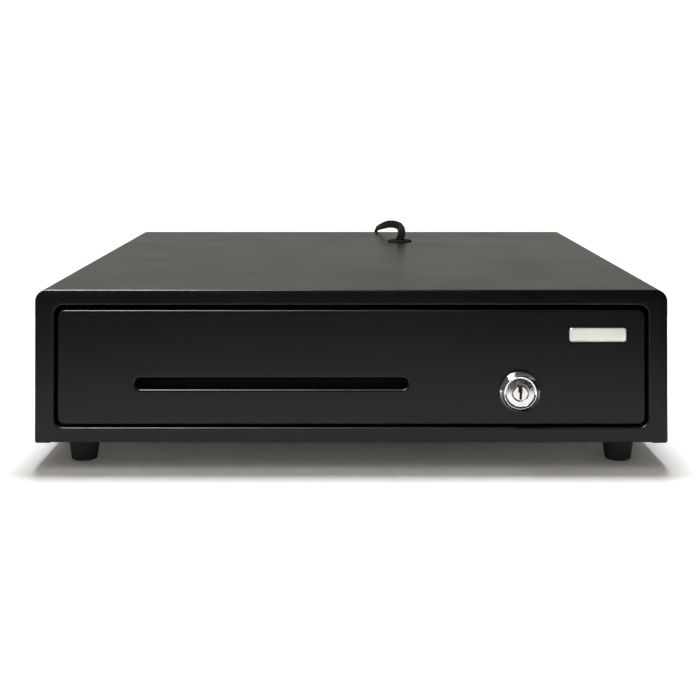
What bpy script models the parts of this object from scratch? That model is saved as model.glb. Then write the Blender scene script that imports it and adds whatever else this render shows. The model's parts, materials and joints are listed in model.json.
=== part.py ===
"""Cash drawer: steel case, sliding drawer with its till, key lock and electric latch.

Metres, +Z up. X runs to the right seen from the front, and the front faces -Y.
The origin is under the middle of the case, on the surface that it stands on.
Depths are measured backwards from the plane of the front frame.
"""
import math

import bmesh
import bpy
from mathutils import Matrix, Vector

# Case
WIDTH = 0.410
DEPTH = 0.415
HEIGHT = 0.115
SHEET = 0.0012
GAP = 0.0003
CASE_CORNER = 0.0075
CASE_BOTTOM = 0.0154
FLANGE_IN = 0.0096
FRAME_BOTTOM = 0.0164
FRAME_ROUND = 0.003
FRAME_RETURN = 0.0115
COVER_START = FRAME_ROUND + GAP
LOCK_PROUD = 0.0062
FRONT_Y = (LOCK_PROUD - DEPTH) / 2
HALF = WIDTH / 2

# Opening in the front frame, and the drawer front inside it
OPENING_HALF = 0.1926
OPENING_LOW = 0.0260
OPENING_HIGH = 0.1052
OPENING_CORNER = 0.006
FACE_HALF = 0.1902
FACE_LOW = 0.0279
FACE_HIGH = 0.1020
FACE_CORNER = 0.003
FACE_RECESS = 0.0003
FACE_RETURN = 0.012

# Base and back
BASE_HALF = 0.1985
BASE_LOW = CASE_BOTTOM + SHEET + GAP
BASE_START = 0.0122
BASE_END = 0.4015
BASE_UPRIGHT = 0.075
BACK_START = 0.402
BACK_FACE = 0.4135

# Feet
FOOT_X = 0.1775
FOOT_DEPTHS = (0.024, 0.391)
FOOT_TOP_RADIUS = 0.01075
FOOT_LOW_RADIUS = 0.0085

# Drawer tub
TUB_HALF = 0.184
TUB_START = FACE_RETURN + GAP
TUB_END = 0.360
TUB_LOW = 0.0286
TUB_HIGH = 0.092
TUB_WALL = 0.001

# Slides
RAIL_LOW, RAIL_HIGH = 0.0346, 0.0674
RAIL_OUT = BASE_HALF - SHEET - GAP
RAIL_IN = 0.1875
MOVING_RAIL_LOW, MOVING_RAIL_HIGH = 0.0384, 0.0636
MOVING_RAIL_OUT = 0.1918
RAIL_START, RAIL_END = 0.016, 0.396
MOVING_RAIL_START, MOVING_RAIL_END = 0.014, 0.359
CAGE_START, CAGE_END = 0.172, 0.292
CAGE_STRIP = 0.0020

# Media slot and badge
SLOT_LEFT, SLOT_RIGHT = -0.1402, 0.0370
SLOT_LOW, SLOT_HIGH = 0.0509, 0.0580
BADGE_X, BADGE_Z = 0.1598, 0.0861
BADGE_SIZE = (0.0373, 0.00935)

# Lock
LOCK_X, LOCK_Z = 0.1088, 0.0497
LOCK_BODY_RADIUS = 0.00925
PLUG_RADIUS = 0.005
CAM_LENGTH = 0.030
CAM_HALF = 0.006
CAM_DEPTH = 0.0212

# Till
TILL_HALF = 0.1805
TILL_START, TILL_END = 0.032, 0.357
TILL_LOW, TILL_HIGH = 0.0300, 0.0880
TILL_WALL = 0.0025
NOTE_START = 0.153
NOTE_FLOOR = 0.033
NOTE_BAYS = 4
COIN_FLOOR = 0.044
COIN_START, COIN_END = 0.0345, 0.1505
COIN_HIGH = 0.086
COIN_COLUMNS, COIN_ROWS = 4, 2
ROD_DEPTH, ROD_Z = 0.262, 0.060
ROD_RADIUS = 0.002
CLIP_DROP = math.radians(28)
CLIP_LENGTH = 0.0505
CLIP_HALF = 0.013

# Latch, solenoid and switch
LATCH_X, LATCH_DEPTH = -0.040, 0.374
LATCH_LOW, LATCH_HIGH = 0.0545, 0.0575
LATCH_OPEN = math.radians(20)
LATCH_ARM = 0.0235
LATCH_HALF = 0.0035
LATCH_BOSS = 0.0045
HOOK_LEFT, HOOK_BACK, HOOK_FRONT = -0.0072, -0.0060, -0.0093
PLUNGER_X, PLUNGER_Z = -0.0229, 0.0577
PLUNGER_RADIUS = 0.0032
PIN_ARM = PLUNGER_X - LATCH_X
PIN_DEPTH = LATCH_DEPTH + PIN_ARM * math.tan(LATCH_OPEN)
BRACKET_LEFT, BRACKET_RIGHT = -0.092, -0.016
BRACKET_Z = 0.0445
YOKE_START, YOKE_END = 0.389, 0.4098
SWITCH_PIVOT = (-0.089, 0.3672)
SWITCH_REST = math.radians(-12)
EJECTOR_X, EJECTOR_Z = 0.060, 0.060

# Cable hole and cable
HOLE_X, HOLE_DEPTH = 0.0434, 0.320
HOLE_RADIUS = 0.0095
CORD_RADIUS = 0.0034
COIL_X, COIL_DEPTH = -0.020, 0.470
COIL_INNER, COIL_OUTER = 0.030, 0.045
COIL_HEIGHT = 0.0068

FINISHES = {
    "powder_coat": ((0.018, 0.018, 0.017), 0.42, 0.0),
    "zinc_steel": ((0.55, 0.56, 0.58), 0.35, 1.0),
    "chrome": ((0.78, 0.78, 0.79), 0.12, 1.0),
    "brass": ((0.62, 0.55, 0.42), 0.30, 1.0),
    "silver_badge": ((0.62, 0.62, 0.60), 0.35, 1.0),
    "rubber": ((0.010, 0.010, 0.010), 0.75, 0.0),
    "till_plastic": ((0.022, 0.022, 0.024), 0.50, 0.0),
    "switch_plastic": ((0.05, 0.05, 0.06), 0.45, 0.0),
    "coil_tape": ((0.45, 0.30, 0.05), 0.50, 0.0),
    "cable": ((0.012, 0.012, 0.012), 0.45, 0.0),
    "clear_plug": ((0.70, 0.72, 0.72), 0.15, 0.0),
}

AXES = {
    "X": (Vector((0, 1, 0)), Vector((0, 0, 1)), Vector((1, 0, 0))),
    "Y": (Vector((1, 0, 0)), Vector((0, 0, 1)), Vector((0, 1, 0))),
    "Z": (Vector((1, 0, 0)), Vector((0, 1, 0)), Vector((0, 0, 1))),
}


def at(x, depth, z):
    """World point for a place given by its depth behind the front plane."""
    return Vector((x, FRONT_Y + depth, z))


def clear_scene():
    for item in list(bpy.data.objects):
        bpy.data.objects.remove(item, do_unlink=True)


def make_finishes():
    made = {}
    for name, (colour, roughness, metallic) in FINISHES.items():
        finish = bpy.data.materials.new(name)
        finish.use_nodes = True
        shader = finish.node_tree.nodes["Principled BSDF"]
        shader.inputs["Base Color"].default_value = (*colour, 1.0)
        shader.inputs["Roughness"].default_value = roughness
        shader.inputs["Metallic"].default_value = metallic
        made[name] = finish
    return made


# Shapes

def finish_mesh(shape):
    bmesh.ops.recalc_face_normals(shape, faces=shape.faces)
    mesh = bpy.data.meshes.new("shape")
    shape.to_mesh(mesh)
    shape.free()
    mesh.shade_smooth()
    mesh.set_sharp_from_angle(angle=math.radians(32))
    return mesh


def skin(outlines, ring=False):
    """Faces between outlines with equal point counts; the ends are capped, or joined as a ring."""
    shape = bmesh.new()
    rows = [[shape.verts.new(point) for point in outline] for outline in outlines]
    pairs = list(zip(rows, rows[1:]))
    if ring:
        pairs.append((rows[-1], rows[0]))
    for near, far in pairs:
        for i in range(len(near)):
            j = (i + 1) % len(near)
            shape.faces.new((near[i], near[j], far[j], far[i]))
    if not ring:
        shape.faces.new(rows[0])
        shape.faces.new(list(reversed(rows[-1])))
    return finish_mesh(shape)


def prism(points, axis, low, high):
    """A flat outline of (across, up) points, extruded along an axis."""
    across, up, along = AXES[axis]
    ends = []
    for place in (low, high):
        ends.append([across * a + up * b + along * place for a, b in points])
    return skin(ends)


def box(low, high):
    outline = [(low[0], low[1]), (high[0], low[1]), (high[0], high[1]), (low[0], high[1])]
    return prism(outline, "Z", low[2], high[2])


def turned(profile, axis, centre, segments=24, ring=False):
    """A turned piece: the profile holds (radius, distance along the axis from the centre)."""
    across, up, along = AXES[axis]
    outlines = []
    for radius, distance in profile:
        outline = []
        for i in range(segments):
            angle = 2 * math.pi * i / segments
            spoke = across * math.cos(angle) + up * math.sin(angle)
            outline.append(centre + along * distance + spoke * radius)
        outlines.append(outline)
    return skin(outlines, ring)


def arc(centre, radius, start, end, steps):
    """Points of an arc; angles in degrees."""
    points = []
    for i in range(steps + 1):
        angle = math.radians(start + (end - start) * i / steps)
        points.append((centre[0] + radius * math.cos(angle), centre[1] + radius * math.sin(angle)))
    return points


def rounded(left, right, low, high, top_radius, low_radius, steps=5):
    """Outline of a rectangle with rounded corners, from the top right one, counterclockwise."""
    points = arc((right - top_radius, high - top_radius), top_radius, 0, 90, steps)
    points += arc((left + top_radius, high - top_radius), top_radius, 90, 180, steps)
    points += arc((left + low_radius, low + low_radius), low_radius, 180, 270, steps)
    points += arc((right - low_radius, low + low_radius), low_radius, 270, 360, steps)
    return points


def upright(points, depth):
    """An (x, z) outline stood up at a depth."""
    return [at(x, depth, z) for x, z in points]


def level(points, z):
    """An (x, depth) outline laid flat at a height."""
    return [at(x, depth, z) for x, depth in points]


def joined(meshes):
    """One mesh of several closed shapes that don't touch, for use as a cutter."""
    shape = bmesh.new()
    for mesh in meshes:
        shape.from_mesh(mesh)
    return finish_mesh(shape)


def smooth_route(points, spacing):
    """Evenly spaced points on a centripetal curve through the route's points."""
    knots = [Vector(p) for p in points]
    knots = [2 * knots[0] - knots[1]] + knots + [2 * knots[-1] - knots[-2]]
    fine = []
    for p0, p1, p2, p3 in zip(knots, knots[1:], knots[2:], knots[3:]):
        t0 = 0.0
        t1 = t0 + math.sqrt((p1 - p0).length)
        t2 = t1 + math.sqrt((p2 - p1).length)
        t3 = t2 + math.sqrt((p3 - p2).length)
        for i in range(16):
            t = t1 + (t2 - t1) * i / 16
            a1 = p0 * ((t1 - t) / (t1 - t0)) + p1 * ((t - t0) / (t1 - t0))
            a2 = p1 * ((t2 - t) / (t2 - t1)) + p2 * ((t - t1) / (t2 - t1))
            a3 = p2 * ((t3 - t) / (t3 - t2)) + p3 * ((t - t2) / (t3 - t2))
            b1 = a1 * ((t2 - t) / (t2 - t0)) + a2 * ((t - t0) / (t2 - t0))
            b2 = a2 * ((t3 - t) / (t3 - t1)) + a3 * ((t - t1) / (t3 - t1))
            fine.append(b1 * ((t2 - t) / (t2 - t1)) + b2 * ((t - t1) / (t2 - t1)))
    fine.append(knots[-2])
    total = sum((b - a).length for a, b in zip(fine, fine[1:]))
    count = max(2, round(total / spacing))
    step = total / count
    even = [fine[0]]
    walked = 0.0
    for a, b in zip(fine, fine[1:]):
        length = (b - a).length
        while len(even) < count and walked + length >= step * len(even):
            even.append(a.lerp(b, (step * len(even) - walked) / length))
        walked += length
    even.append(fine[-1])
    return even


def helix(centre, axis, radius, length, turns, per_turn):
    across, up, along = AXES[axis]
    points = []
    for i in range(turns * per_turn + 1):
        angle = 2 * math.pi * i / per_turn
        spoke = across * math.cos(angle) + up * math.sin(angle)
        points.append(centre + spoke * radius + along * (length * i / (turns * per_turn)))
    return points


# Placing

def group(name, origin):
    """An empty that holds one moving body, on that body's joint axis."""
    empty = bpy.data.objects.new(name, None)
    empty.location = origin
    bpy.context.scene.collection.objects.link(empty)
    return empty


def place(name, mesh, finish, holder):
    """Name a mesh that is built in world coordinates and hang it on its body's empty."""
    mesh.name = name
    mesh.materials.append(finish)
    mesh.transform(Matrix.Translation(-holder.location))
    item = bpy.data.objects.new(name, mesh)
    bpy.context.scene.collection.objects.link(item)
    item.parent = holder
    return item


def place_tube(name, points, radius, finish, holder, sides=2):
    data = bpy.data.curves.new(name, "CURVE")
    data.dimensions = "3D"
    data.bevel_depth = radius
    data.bevel_resolution = sides
    data.use_fill_caps = True
    spline = data.splines.new("POLY")
    spline.points.add(len(points) - 1)
    for slot, point in zip(spline.points, points):
        slot.co = (*(Vector(point) - holder.location), 1.0)
    data.materials.append(finish)
    item = bpy.data.objects.new(name, data)
    bpy.context.scene.collection.objects.link(item)
    item.parent = holder
    return item


def guide(name, mesh):
    """A shape that only cuts or joins others."""
    item = bpy.data.objects.new(name, mesh)
    item.hide_render = True
    item.display_type = "WIRE"
    bpy.context.scene.collection.objects.link(item)
    return item


def combine(item, tool, operation="DIFFERENCE"):
    change = item.modifiers.new(tool.name, "BOOLEAN")
    change.operation = operation
    change.object = tool


# Case

def frame_outline(inset, depth):
    """The case's outline, drawn in from its top and sides, and less from its bottom edge."""
    radius = max(CASE_CORNER - inset, 0.002)
    points = rounded(-HALF + inset, HALF - inset, FRAME_BOTTOM + 0.4 * inset, HEIGHT - inset,
                     radius, 0.001)
    return upright(points, depth)


def opening_outline(growth, depth):
    points = rounded(-OPENING_HALF - growth, OPENING_HALF + growth, OPENING_LOW - growth,
                     OPENING_HIGH + growth, OPENING_CORNER + growth, OPENING_CORNER + growth)
    return upright(points, depth)


def make_front_frame(finish, holder):
    lap = SHEET + GAP
    lip = 0.001
    outlines = [frame_outline(lap, FRAME_RETURN), frame_outline(lap, FRAME_ROUND)]
    for angle in (0, 30, 60, 90):
        turn = math.radians(angle)
        inset = FRAME_ROUND * (1 - math.cos(turn))
        outlines.append(frame_outline(inset, FRAME_ROUND * (1 - math.sin(turn))))
    outlines.append(opening_outline(lip, 0))
    outlines.append(opening_outline(0.3 * lip, 0.3 * lip))
    outlines.append(opening_outline(0, lip))
    outlines.append(opening_outline(0, FRAME_RETURN))
    outlines.append(opening_outline(SHEET, FRAME_RETURN))
    outlines.append(opening_outline(SHEET, SHEET + lip))
    outlines.append(frame_outline(lap + SHEET, SHEET + lip))
    outlines.append(frame_outline(lap + SHEET, FRAME_RETURN))
    place("front_frame", skin(outlines, ring=True), finish, holder)


def make_top_cover(finish, holder):
    inner = HALF - SHEET
    turn_x, turn_z = HALF - CASE_CORNER, HEIGHT - CASE_CORNER
    outer_points = [(HALF - FLANGE_IN, CASE_BOTTOM), (HALF, CASE_BOTTOM)]
    outer_points += arc((turn_x, turn_z), CASE_CORNER, 0, 90, 6)
    inner_points = [(HALF - FLANGE_IN, CASE_BOTTOM + SHEET), (inner, CASE_BOTTOM + SHEET)]
    inner_points += arc((turn_x, turn_z), CASE_CORNER - SHEET, 0, 90, 6)
    mirrored_outer = [(-x, z) for x, z in reversed(outer_points)]
    mirrored_inner = [(-x, z) for x, z in inner_points]
    profile = outer_points + mirrored_outer + mirrored_inner + list(reversed(inner_points))
    cover = place("top_cover", skin([upright(profile, COVER_START), upright(profile, DEPTH)]),
                  finish, holder)
    hole = turned([(HOLE_RADIUS, -0.006), (HOLE_RADIUS, 0.003)], "Z",
                  at(HOLE_X, HOLE_DEPTH, HEIGHT), 28)
    combine(cover, guide("cable_hole_cutter", hole))


def make_base_pan(finish, holder):
    top = BASE_LOW + SHEET
    inner = BASE_HALF - SHEET
    profile = [(BASE_HALF, BASE_LOW), (BASE_HALF, BASE_UPRIGHT), (inner, BASE_UPRIGHT), (inner, top)]
    profile += [(-x, z) for x, z in reversed(profile)]
    mesh = skin([upright(profile, BASE_START), upright(profile, BASE_END)])
    place("base_pan", mesh, finish, holder)


def make_back_panel(finish, holder):
    side, high = HALF - SHEET - GAP, HEIGHT - SHEET - GAP
    corner = CASE_CORNER - SHEET - GAP

    def outline(inset, depth):
        points = rounded(-side + inset, side - inset, BASE_LOW + inset, high - inset,
                         corner - inset, 0.002)
        return upright(points, depth)

    outlines = [outline(SHEET, BACK_FACE - SHEET), outline(SHEET, BACK_START),
                outline(0, BACK_START), outline(0, BACK_FACE)]
    place("back_panel", skin(outlines), finish, holder)


def make_back_screws(finish, holder):
    for side, x in (("left", -0.185), ("right", 0.185)):
        for row, z in (("low", 0.030), ("high", 0.100)):
            profile = [(0.0036, 0), (0.0036, 0.0006), (0.0024, 0.0012)]
            mesh = turned(profile, "Y", at(x, BACK_FACE + GAP, z), 16)
            place(f"back_screw_{row}_{side}", mesh, finish, holder)


def make_feet(rubber, steel, holder):
    top = BASE_LOW - GAP
    profile = [(0.0045, 0.0070), (0.0045, 0.0), (FOOT_LOW_RADIUS - 0.0014, 0.0),
               (FOOT_LOW_RADIUS - 0.0003, 0.0006), (FOOT_LOW_RADIUS, 0.0018),
               (FOOT_TOP_RADIUS, top - 0.0010), (FOOT_TOP_RADIUS, top)]
    screw = [(0.0022, 0.0040), (0.0038, 0.0048), (0.0038, 0.0067)]
    for row, depth in zip(("front", "rear"), FOOT_DEPTHS):
        for side, x in (("left", -FOOT_X), ("right", FOOT_X)):
            foot = at(x, depth, 0)
            place(f"foot_{row}_{side}", turned(profile, "Z", foot), rubber, holder)
            place(f"foot_screw_{row}_{side}", turned(screw, "Z", foot, 12), steel, holder)


def make_grommet(finish, holder):
    under, over = HEIGHT - SHEET - GAP, HEIGHT + GAP
    flange, neck, bore = 0.01075, HOLE_RADIUS - GAP, 0.0065
    profile = [(bore, under - 0.0012), (flange, under - 0.0012), (flange, under), (neck, under),
               (neck, over), (flange, over), (flange - 0.0005, over + 0.0008),
               (flange - 0.0018, over + 0.0013), (bore + 0.0008, over + 0.0013), (bore, over + 0.0006)]
    mesh = turned(profile, "Z", at(HOLE_X, HOLE_DEPTH, 0), 28, ring=True)
    place("cable_grommet", mesh, finish, holder)


def make_keeper(finish, holder):
    low = BASE_LOW + SHEET + GAP
    profile = [(0.013, low), (0.0195, low), (0.0195, 0.0275), (0.0175, 0.0275),
               (0.0175, low + SHEET), (0.013, low + SHEET)]
    points = [(FRONT_Y + depth, z) for depth, z in profile]
    place("lock_keeper", prism(points, "X", LOCK_X - 0.011, LOCK_X + 0.011), finish, holder)


# Slides

def channel(web, tip, low, high, sheet):
    """Section of a rail: a web at one side and two flanges towards its tip."""
    inward = math.copysign(sheet, tip - web)
    return [(web, low), (tip, low), (tip, low + sheet), (web + inward, low + sheet),
            (web + inward, high - sheet), (tip, high - sheet), (tip, high), (web, high)]


def make_slides(finish, case, drawer, cages):
    strip = CAGE_STRIP
    low, high = RAIL_LOW + SHEET + GAP, RAIL_HIGH - SHEET - GAP
    web_out = MOVING_RAIL_OUT + 0.0027
    tip = RAIL_IN + 0.0008
    for side, sign in (("left", -1), ("right", 1)):
        fixed = channel(sign * RAIL_OUT, sign * RAIL_IN, RAIL_LOW, RAIL_HIGH, SHEET)
        mesh = skin([upright(fixed, RAIL_START), upright(fixed, RAIL_END)])
        place(f"outer_rail_{side}", mesh, finish, case)
        moving = channel(sign * (TUB_HALF + GAP), sign * MOVING_RAIL_OUT, MOVING_RAIL_LOW,
                         MOVING_RAIL_HIGH, SHEET)
        mesh = skin([upright(moving, MOVING_RAIL_START), upright(moving, MOVING_RAIL_END)])
        place(f"inner_rail_{side}", mesh, finish, drawer)
        cage = channel(sign * web_out, sign * tip, low, high, strip)
        mesh = skin([upright(cage, CAGE_START), upright(cage, CAGE_END)])
        place(f"ball_cage_{side}", mesh, finish, cages[side])


# Drawer

def make_drawer_front(finish, holder):
    edge = 0.001

    def outline(inset, depth):
        points = rounded(-FACE_HALF + inset, FACE_HALF - inset, FACE_LOW + inset,
                         FACE_HIGH - inset, FACE_CORNER - inset, FACE_CORNER - inset)
        return upright(points, depth)

    outlines = [outline(SHEET, FACE_RECESS + SHEET), outline(SHEET, FACE_RETURN),
                outline(0, FACE_RETURN)]
    for angle in (0, 45, 90):
        turn = math.radians(angle)
        outlines.append(outline(edge * (1 - math.cos(turn)),
                                FACE_RECESS + edge * (1 - math.sin(turn))))
    face = place("drawer_front", skin(outlines), finish, holder)
    radius = (SLOT_HIGH - SLOT_LOW) / 2
    slot = rounded(SLOT_LEFT, SLOT_RIGHT, SLOT_LOW, SLOT_HIGH, radius - 1e-5, radius - 1e-5)
    slot_cut = skin([upright(slot, -0.001), upright(slot, 0.003)])
    lock_cut = turned([(LOCK_BODY_RADIUS + GAP, -0.001), (LOCK_BODY_RADIUS + GAP, 0.003)], "Y",
                      at(LOCK_X, 0, LOCK_Z))
    combine(face, guide("drawer_front_cutter", joined([slot_cut, lock_cut])))


def make_badge(finish, holder):
    half_width, half_height = BADGE_SIZE[0] / 2, BADGE_SIZE[1] / 2

    def outline(inset, depth):
        points = rounded(BADGE_X - half_width + inset, BADGE_X + half_width - inset,
                         BADGE_Z - half_height + inset, BADGE_Z + half_height - inset,
                         0.0016 - inset, 0.0016 - inset, 4)
        return upright(points, depth)

    back = FACE_RECESS - GAP
    outlines = [outline(0, back), outline(0, back - 0.0005), outline(0.0002, back - 0.0008)]
    place("badge_plate", skin(outlines), finish, holder)


def make_tub(finish, holder):
    def outline(inset, z):
        points = rounded(-TUB_HALF + inset, TUB_HALF - inset, TUB_START + inset, TUB_END - inset,
                         0.003 - inset, 0.003 - inset, 3)
        return level(points, z)

    outlines = [outline(TUB_WALL, TUB_LOW + TUB_WALL), outline(TUB_WALL, TUB_HIGH),
                outline(0, TUB_HIGH), outline(0, TUB_LOW)]
    tub = place("drawer_tub", skin(outlines), finish, holder)
    near, far = TUB_START - 0.001, TUB_START + 0.003
    window = box(at(SLOT_LEFT - 0.006, near, SLOT_LOW - 0.005), at(SLOT_RIGHT + 0.006, far, 0.062))
    lock_hole = turned([(LOCK_BODY_RADIUS + GAP, near), (LOCK_BODY_RADIUS + GAP, far)], "Y",
                       at(LOCK_X, 0, LOCK_Z))
    cam_slot = box(at(LOCK_X - CAM_HALF - 0.002, CAM_DEPTH - 0.001, TUB_LOW - 0.001),
                   at(LOCK_X + CAM_LENGTH, CAM_DEPTH + 0.005, TUB_LOW + 0.002))
    combine(tub, guide("drawer_tub_cutter", joined([window, lock_hole, cam_slot])))


def make_striker(finish, holder):
    """A plate on the back of the tub, with a tongue whose lip the latch hooks in front of."""
    near, plate, lip, end = TUB_END + GAP, TUB_END + 0.0018, 0.3687, 0.3707
    plate_left, tongue_left, tongue_right, lip_right = -0.0660, -0.0500, -0.0480, -0.0453
    profile = [(plate_left, near), (tongue_right, near), (tongue_right, lip), (lip_right, lip),
               (lip_right, end), (tongue_left, end), (tongue_left, plate), (plate_left, plate)]
    place("striker", skin([level(profile, 0.048), level(profile, 0.060)]), finish, holder)


# Lock

def make_lock(finishes, drawer, plug):
    centre = at(LOCK_X, 0, LOCK_Z)
    bore = PLUG_RADIUS + GAP
    profile = [(bore, -0.0046), (0.0088, -0.0049), (0.0095, -0.0059), (0.0101, -0.0062),
               (0.0107, -0.0060), (0.0112, -0.0052), (0.0128, -0.0016), (0.0131, -0.0008),
               (0.0131, 0.0), (LOCK_BODY_RADIUS, 0.0), (LOCK_BODY_RADIUS, 0.0206), (bore, 0.0206)]
    place("lock_housing", turned(profile, "Y", centre, 32, ring=True), finishes["chrome"], drawer)

    start = FACE_RECESS + SHEET + GAP
    inner, outer = LOCK_BODY_RADIUS + GAP, 0.0130
    hexagon = [(start, inner), (start, outer), (start + 0.004, outer), (start + 0.004, inner)]
    outlines = []
    for depth, radius in hexagon:
        sides = 24 if radius == inner else 6
        outline = []
        for i in range(24):
            angle = 2 * math.pi * i / 24
            part = (angle + math.pi / sides) % (2 * math.pi / sides) - math.pi / sides
            reach = radius if sides == 24 else radius * math.cos(math.pi / 6) / math.cos(part)
            outline.append(at(LOCK_X + reach * math.cos(angle), depth,
                              LOCK_Z + reach * math.sin(angle)))
        outlines.append(outline)
    place("lock_nut", skin(outlines, ring=True), finishes["zinc_steel"], drawer)

    barrel = [(0.0046, -0.0052), (PLUG_RADIUS, -0.0048), (PLUG_RADIUS, 0.0208), (0.003, 0.0208),
              (0.003, 0.0240)]
    barrel_item = place("lock_plug", turned(barrel, "Y", centre), finishes["brass"], plug)
    keyway = box(at(LOCK_X - 0.0011, -0.006, LOCK_Z - 0.0040),
                 at(LOCK_X + 0.0011, -0.001, LOCK_Z + 0.0036))
    combine(barrel_item, guide("keyway_cutter", keyway))

    tip = CAM_LENGTH - CAM_HALF
    cam = arc((tip, 0), CAM_HALF, -90, 90, 6) + arc((0, 0), CAM_HALF, 90, 270, 6)
    cam = [(LOCK_X + a, LOCK_Z + b) for a, b in cam]
    mesh = skin([upright(cam, CAM_DEPTH), upright(cam, CAM_DEPTH + 0.002)])
    cam_item = place("lock_cam", mesh, finishes["zinc_steel"], plug)
    hole = turned([(0.003 + GAP, CAM_DEPTH - 0.001), (0.003 + GAP, CAM_DEPTH + 0.003)], "Y", centre, 16)
    combine(cam_item, guide("cam_hole_cutter", hole))

    head = turned([(0.0042, 0.0243), (0.0042, 0.0268)], "Y", centre, 6)
    place("cam_screw", head, finishes["zinc_steel"], plug)


# Till

def bay_edges(count, low, high, wall):
    """Left and right edges of equal bays between walls."""
    width = (high - low - wall * (count + 1)) / count
    return [(low + wall + i * (width + wall), low + wall + i * (width + wall) + width)
            for i in range(count)]


def make_till(plastic, steel, holder, clip_holders):
    outline = rounded(-TILL_HALF, TILL_HALF, TILL_START, TILL_END, 0.004, 0.004, 3)
    insert = place("till_insert", skin([level(outline, TILL_LOW), level(outline, TILL_HIGH)]),
                   plastic, holder)
    over = TILL_HIGH + 0.005
    bays = bay_edges(NOTE_BAYS, -TILL_HALF, TILL_HALF, TILL_WALL)
    pockets = []
    for left, right in bays:
        pockets.append(box(at(left, NOTE_START, NOTE_FLOOR), at(right, TILL_END - TILL_WALL, over)))
    well_half = TILL_HALF - TILL_WALL
    pockets.append(box(at(-well_half, COIN_START, COIN_FLOOR), at(well_half, COIN_END, over)))
    pockets.append(box(at(-well_half + 0.002, TILL_START - 0.002, TILL_LOW - 0.002),
                       at(well_half - 0.002, COIN_END - 0.0005, COIN_FLOOR - TILL_WALL)))
    combine(insert, guide("till_cutter", joined(pockets)))
    bore = turned([(ROD_RADIUS + GAP, -0.19), (ROD_RADIUS + GAP, 0.19)], "X",
                  at(0, ROD_DEPTH, ROD_Z), 16)
    bore_guide = guide("rod_bore_cutter", bore)
    combine(insert, bore_guide)

    rod = turned([(ROD_RADIUS, -TILL_HALF), (ROD_RADIUS, TILL_HALF)], "X",
                 at(0, ROD_DEPTH, ROD_Z), 16)
    place("clip_rod", rod, steel, holder)

    side, front, back = well_half - GAP, COIN_START + GAP, COIN_END - GAP
    outline = rounded(-side, side, front, back, 0.003, 0.003, 3)
    tray = place("coin_tray", skin([level(outline, COIN_FLOOR + GAP), level(outline, COIN_HIGH)]),
                 plastic, holder)
    cups = []
    for near, far in bay_edges(COIN_ROWS, front, back, TILL_WALL):
        radius = (far - near) / 2
        middle = (near + far) / 2
        low = COIN_FLOOR + GAP + TILL_WALL
        scoop = arc((FRONT_Y + middle, low + radius), radius, 180, 360, 10)
        scoop += [(FRONT_Y + far, over), (FRONT_Y + near, over)]
        for left, right in bay_edges(COIN_COLUMNS, -side, side, TILL_WALL):
            cups.append(prism(scoop, "X", left, right))
    combine(tray, guide("coin_cutter", joined(cups)))

    for number, ((left, right), clip_holder) in enumerate(zip(bays, clip_holders), start=1):
        middle = (left + right) / 2
        clip = place(f"note_clip_{number}", clip_shape(middle), plastic, clip_holder)
        combine(clip, bore_guide)


def clip_shape(middle):
    """A note clip: a hub on the rod and an arm that slopes forwards to a curled foot."""
    outline = arc((0, 0), 0.0045, 15, 345, 12)
    outline += [(0.044, -0.0012), (0.048, -0.0004), (CLIP_LENGTH, 0.0024),
                (CLIP_LENGTH - 0.0014, 0.0034), (0.0466, 0.0014), (0.043, 0.0009)]
    turn = math.pi + CLIP_DROP
    points = []
    for along, off in outline:
        y = along * math.cos(turn) + off * math.sin(turn)
        z = along * -math.sin(CLIP_DROP) + off * math.cos(CLIP_DROP)
        points.append((FRONT_Y + ROD_DEPTH + y, ROD_Z + z))
    return prism(points, "X", middle - CLIP_HALF, middle + CLIP_HALF)


# Latch, solenoid, switch and ejector

def make_bracket(finish, holder):
    rear = 0.4114
    profile = [(0.366, BRACKET_Z), (rear - SHEET, BRACKET_Z), (rear - SHEET, 0.0186),
               (rear, 0.0186), (rear, BRACKET_Z + 0.0015), (0.366, BRACKET_Z + 0.0015)]
    points = [(FRONT_Y + depth, z) for depth, z in profile]
    mesh = prism(points, "X", BRACKET_LEFT, BRACKET_RIGHT)
    place("latch_bracket", mesh, finish, holder)


def make_latch(finish, case, latch):
    pivot = at(LATCH_X, LATCH_DEPTH, 0)
    seat = BRACKET_Z + 0.0015 + GAP
    pin = [(0.005, seat), (0.005, LATCH_LOW - GAP), (0.0025, LATCH_LOW - GAP), (0.0025, 0.064)]
    place("latch_pin", turned(pin, "Z", pivot, 16), finish, case)
    coil = helix(pivot + Vector((0, 0, LATCH_HIGH + 0.001)), "Z", 0.004, 0.0034, 3, 10)
    place_tube("latch_spring", coil, 0.0004, finish, case, 1)

    outline = arc((0, 0), LATCH_BOSS, 51, 228, 10)
    outline += [(-0.0030, HOOK_BACK), (HOOK_LEFT, HOOK_BACK), (HOOK_LEFT, HOOK_FRONT + 0.0008),
                (HOOK_LEFT + 0.0008, HOOK_FRONT), (0.0024, HOOK_FRONT), (0.0030, HOOK_FRONT + 0.0006),
                (0.0030, -LATCH_HALF)]
    outline += arc((LATCH_ARM - LATCH_HALF, 0), LATCH_HALF, -90, 90, 6)
    lever = bpy.data.objects.new("latch_lever", prism(outline, "Z", LATCH_LOW, LATCH_HIGH))
    lever.data.materials.append(finish)
    bpy.context.scene.collection.objects.link(lever)
    hole = turned([(0.0028, LATCH_LOW - 0.001), (0.0028, LATCH_HIGH + 0.001)], "Z",
                  Vector((0, 0, 0)), 16)
    slot = rounded(0.0148, 0.0212, -0.002, 0.002, 0.0019, 0.0019, 3)
    slot_cut = prism(slot, "Z", LATCH_LOW - 0.001, LATCH_HIGH + 0.001)
    cutter = guide("latch_cutter", joined([hole, slot_cut]))
    for item in (lever, cutter):
        item.parent = latch
        item.rotation_euler = (0, 0, LATCH_OPEN)
    combine(lever, cutter)


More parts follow.
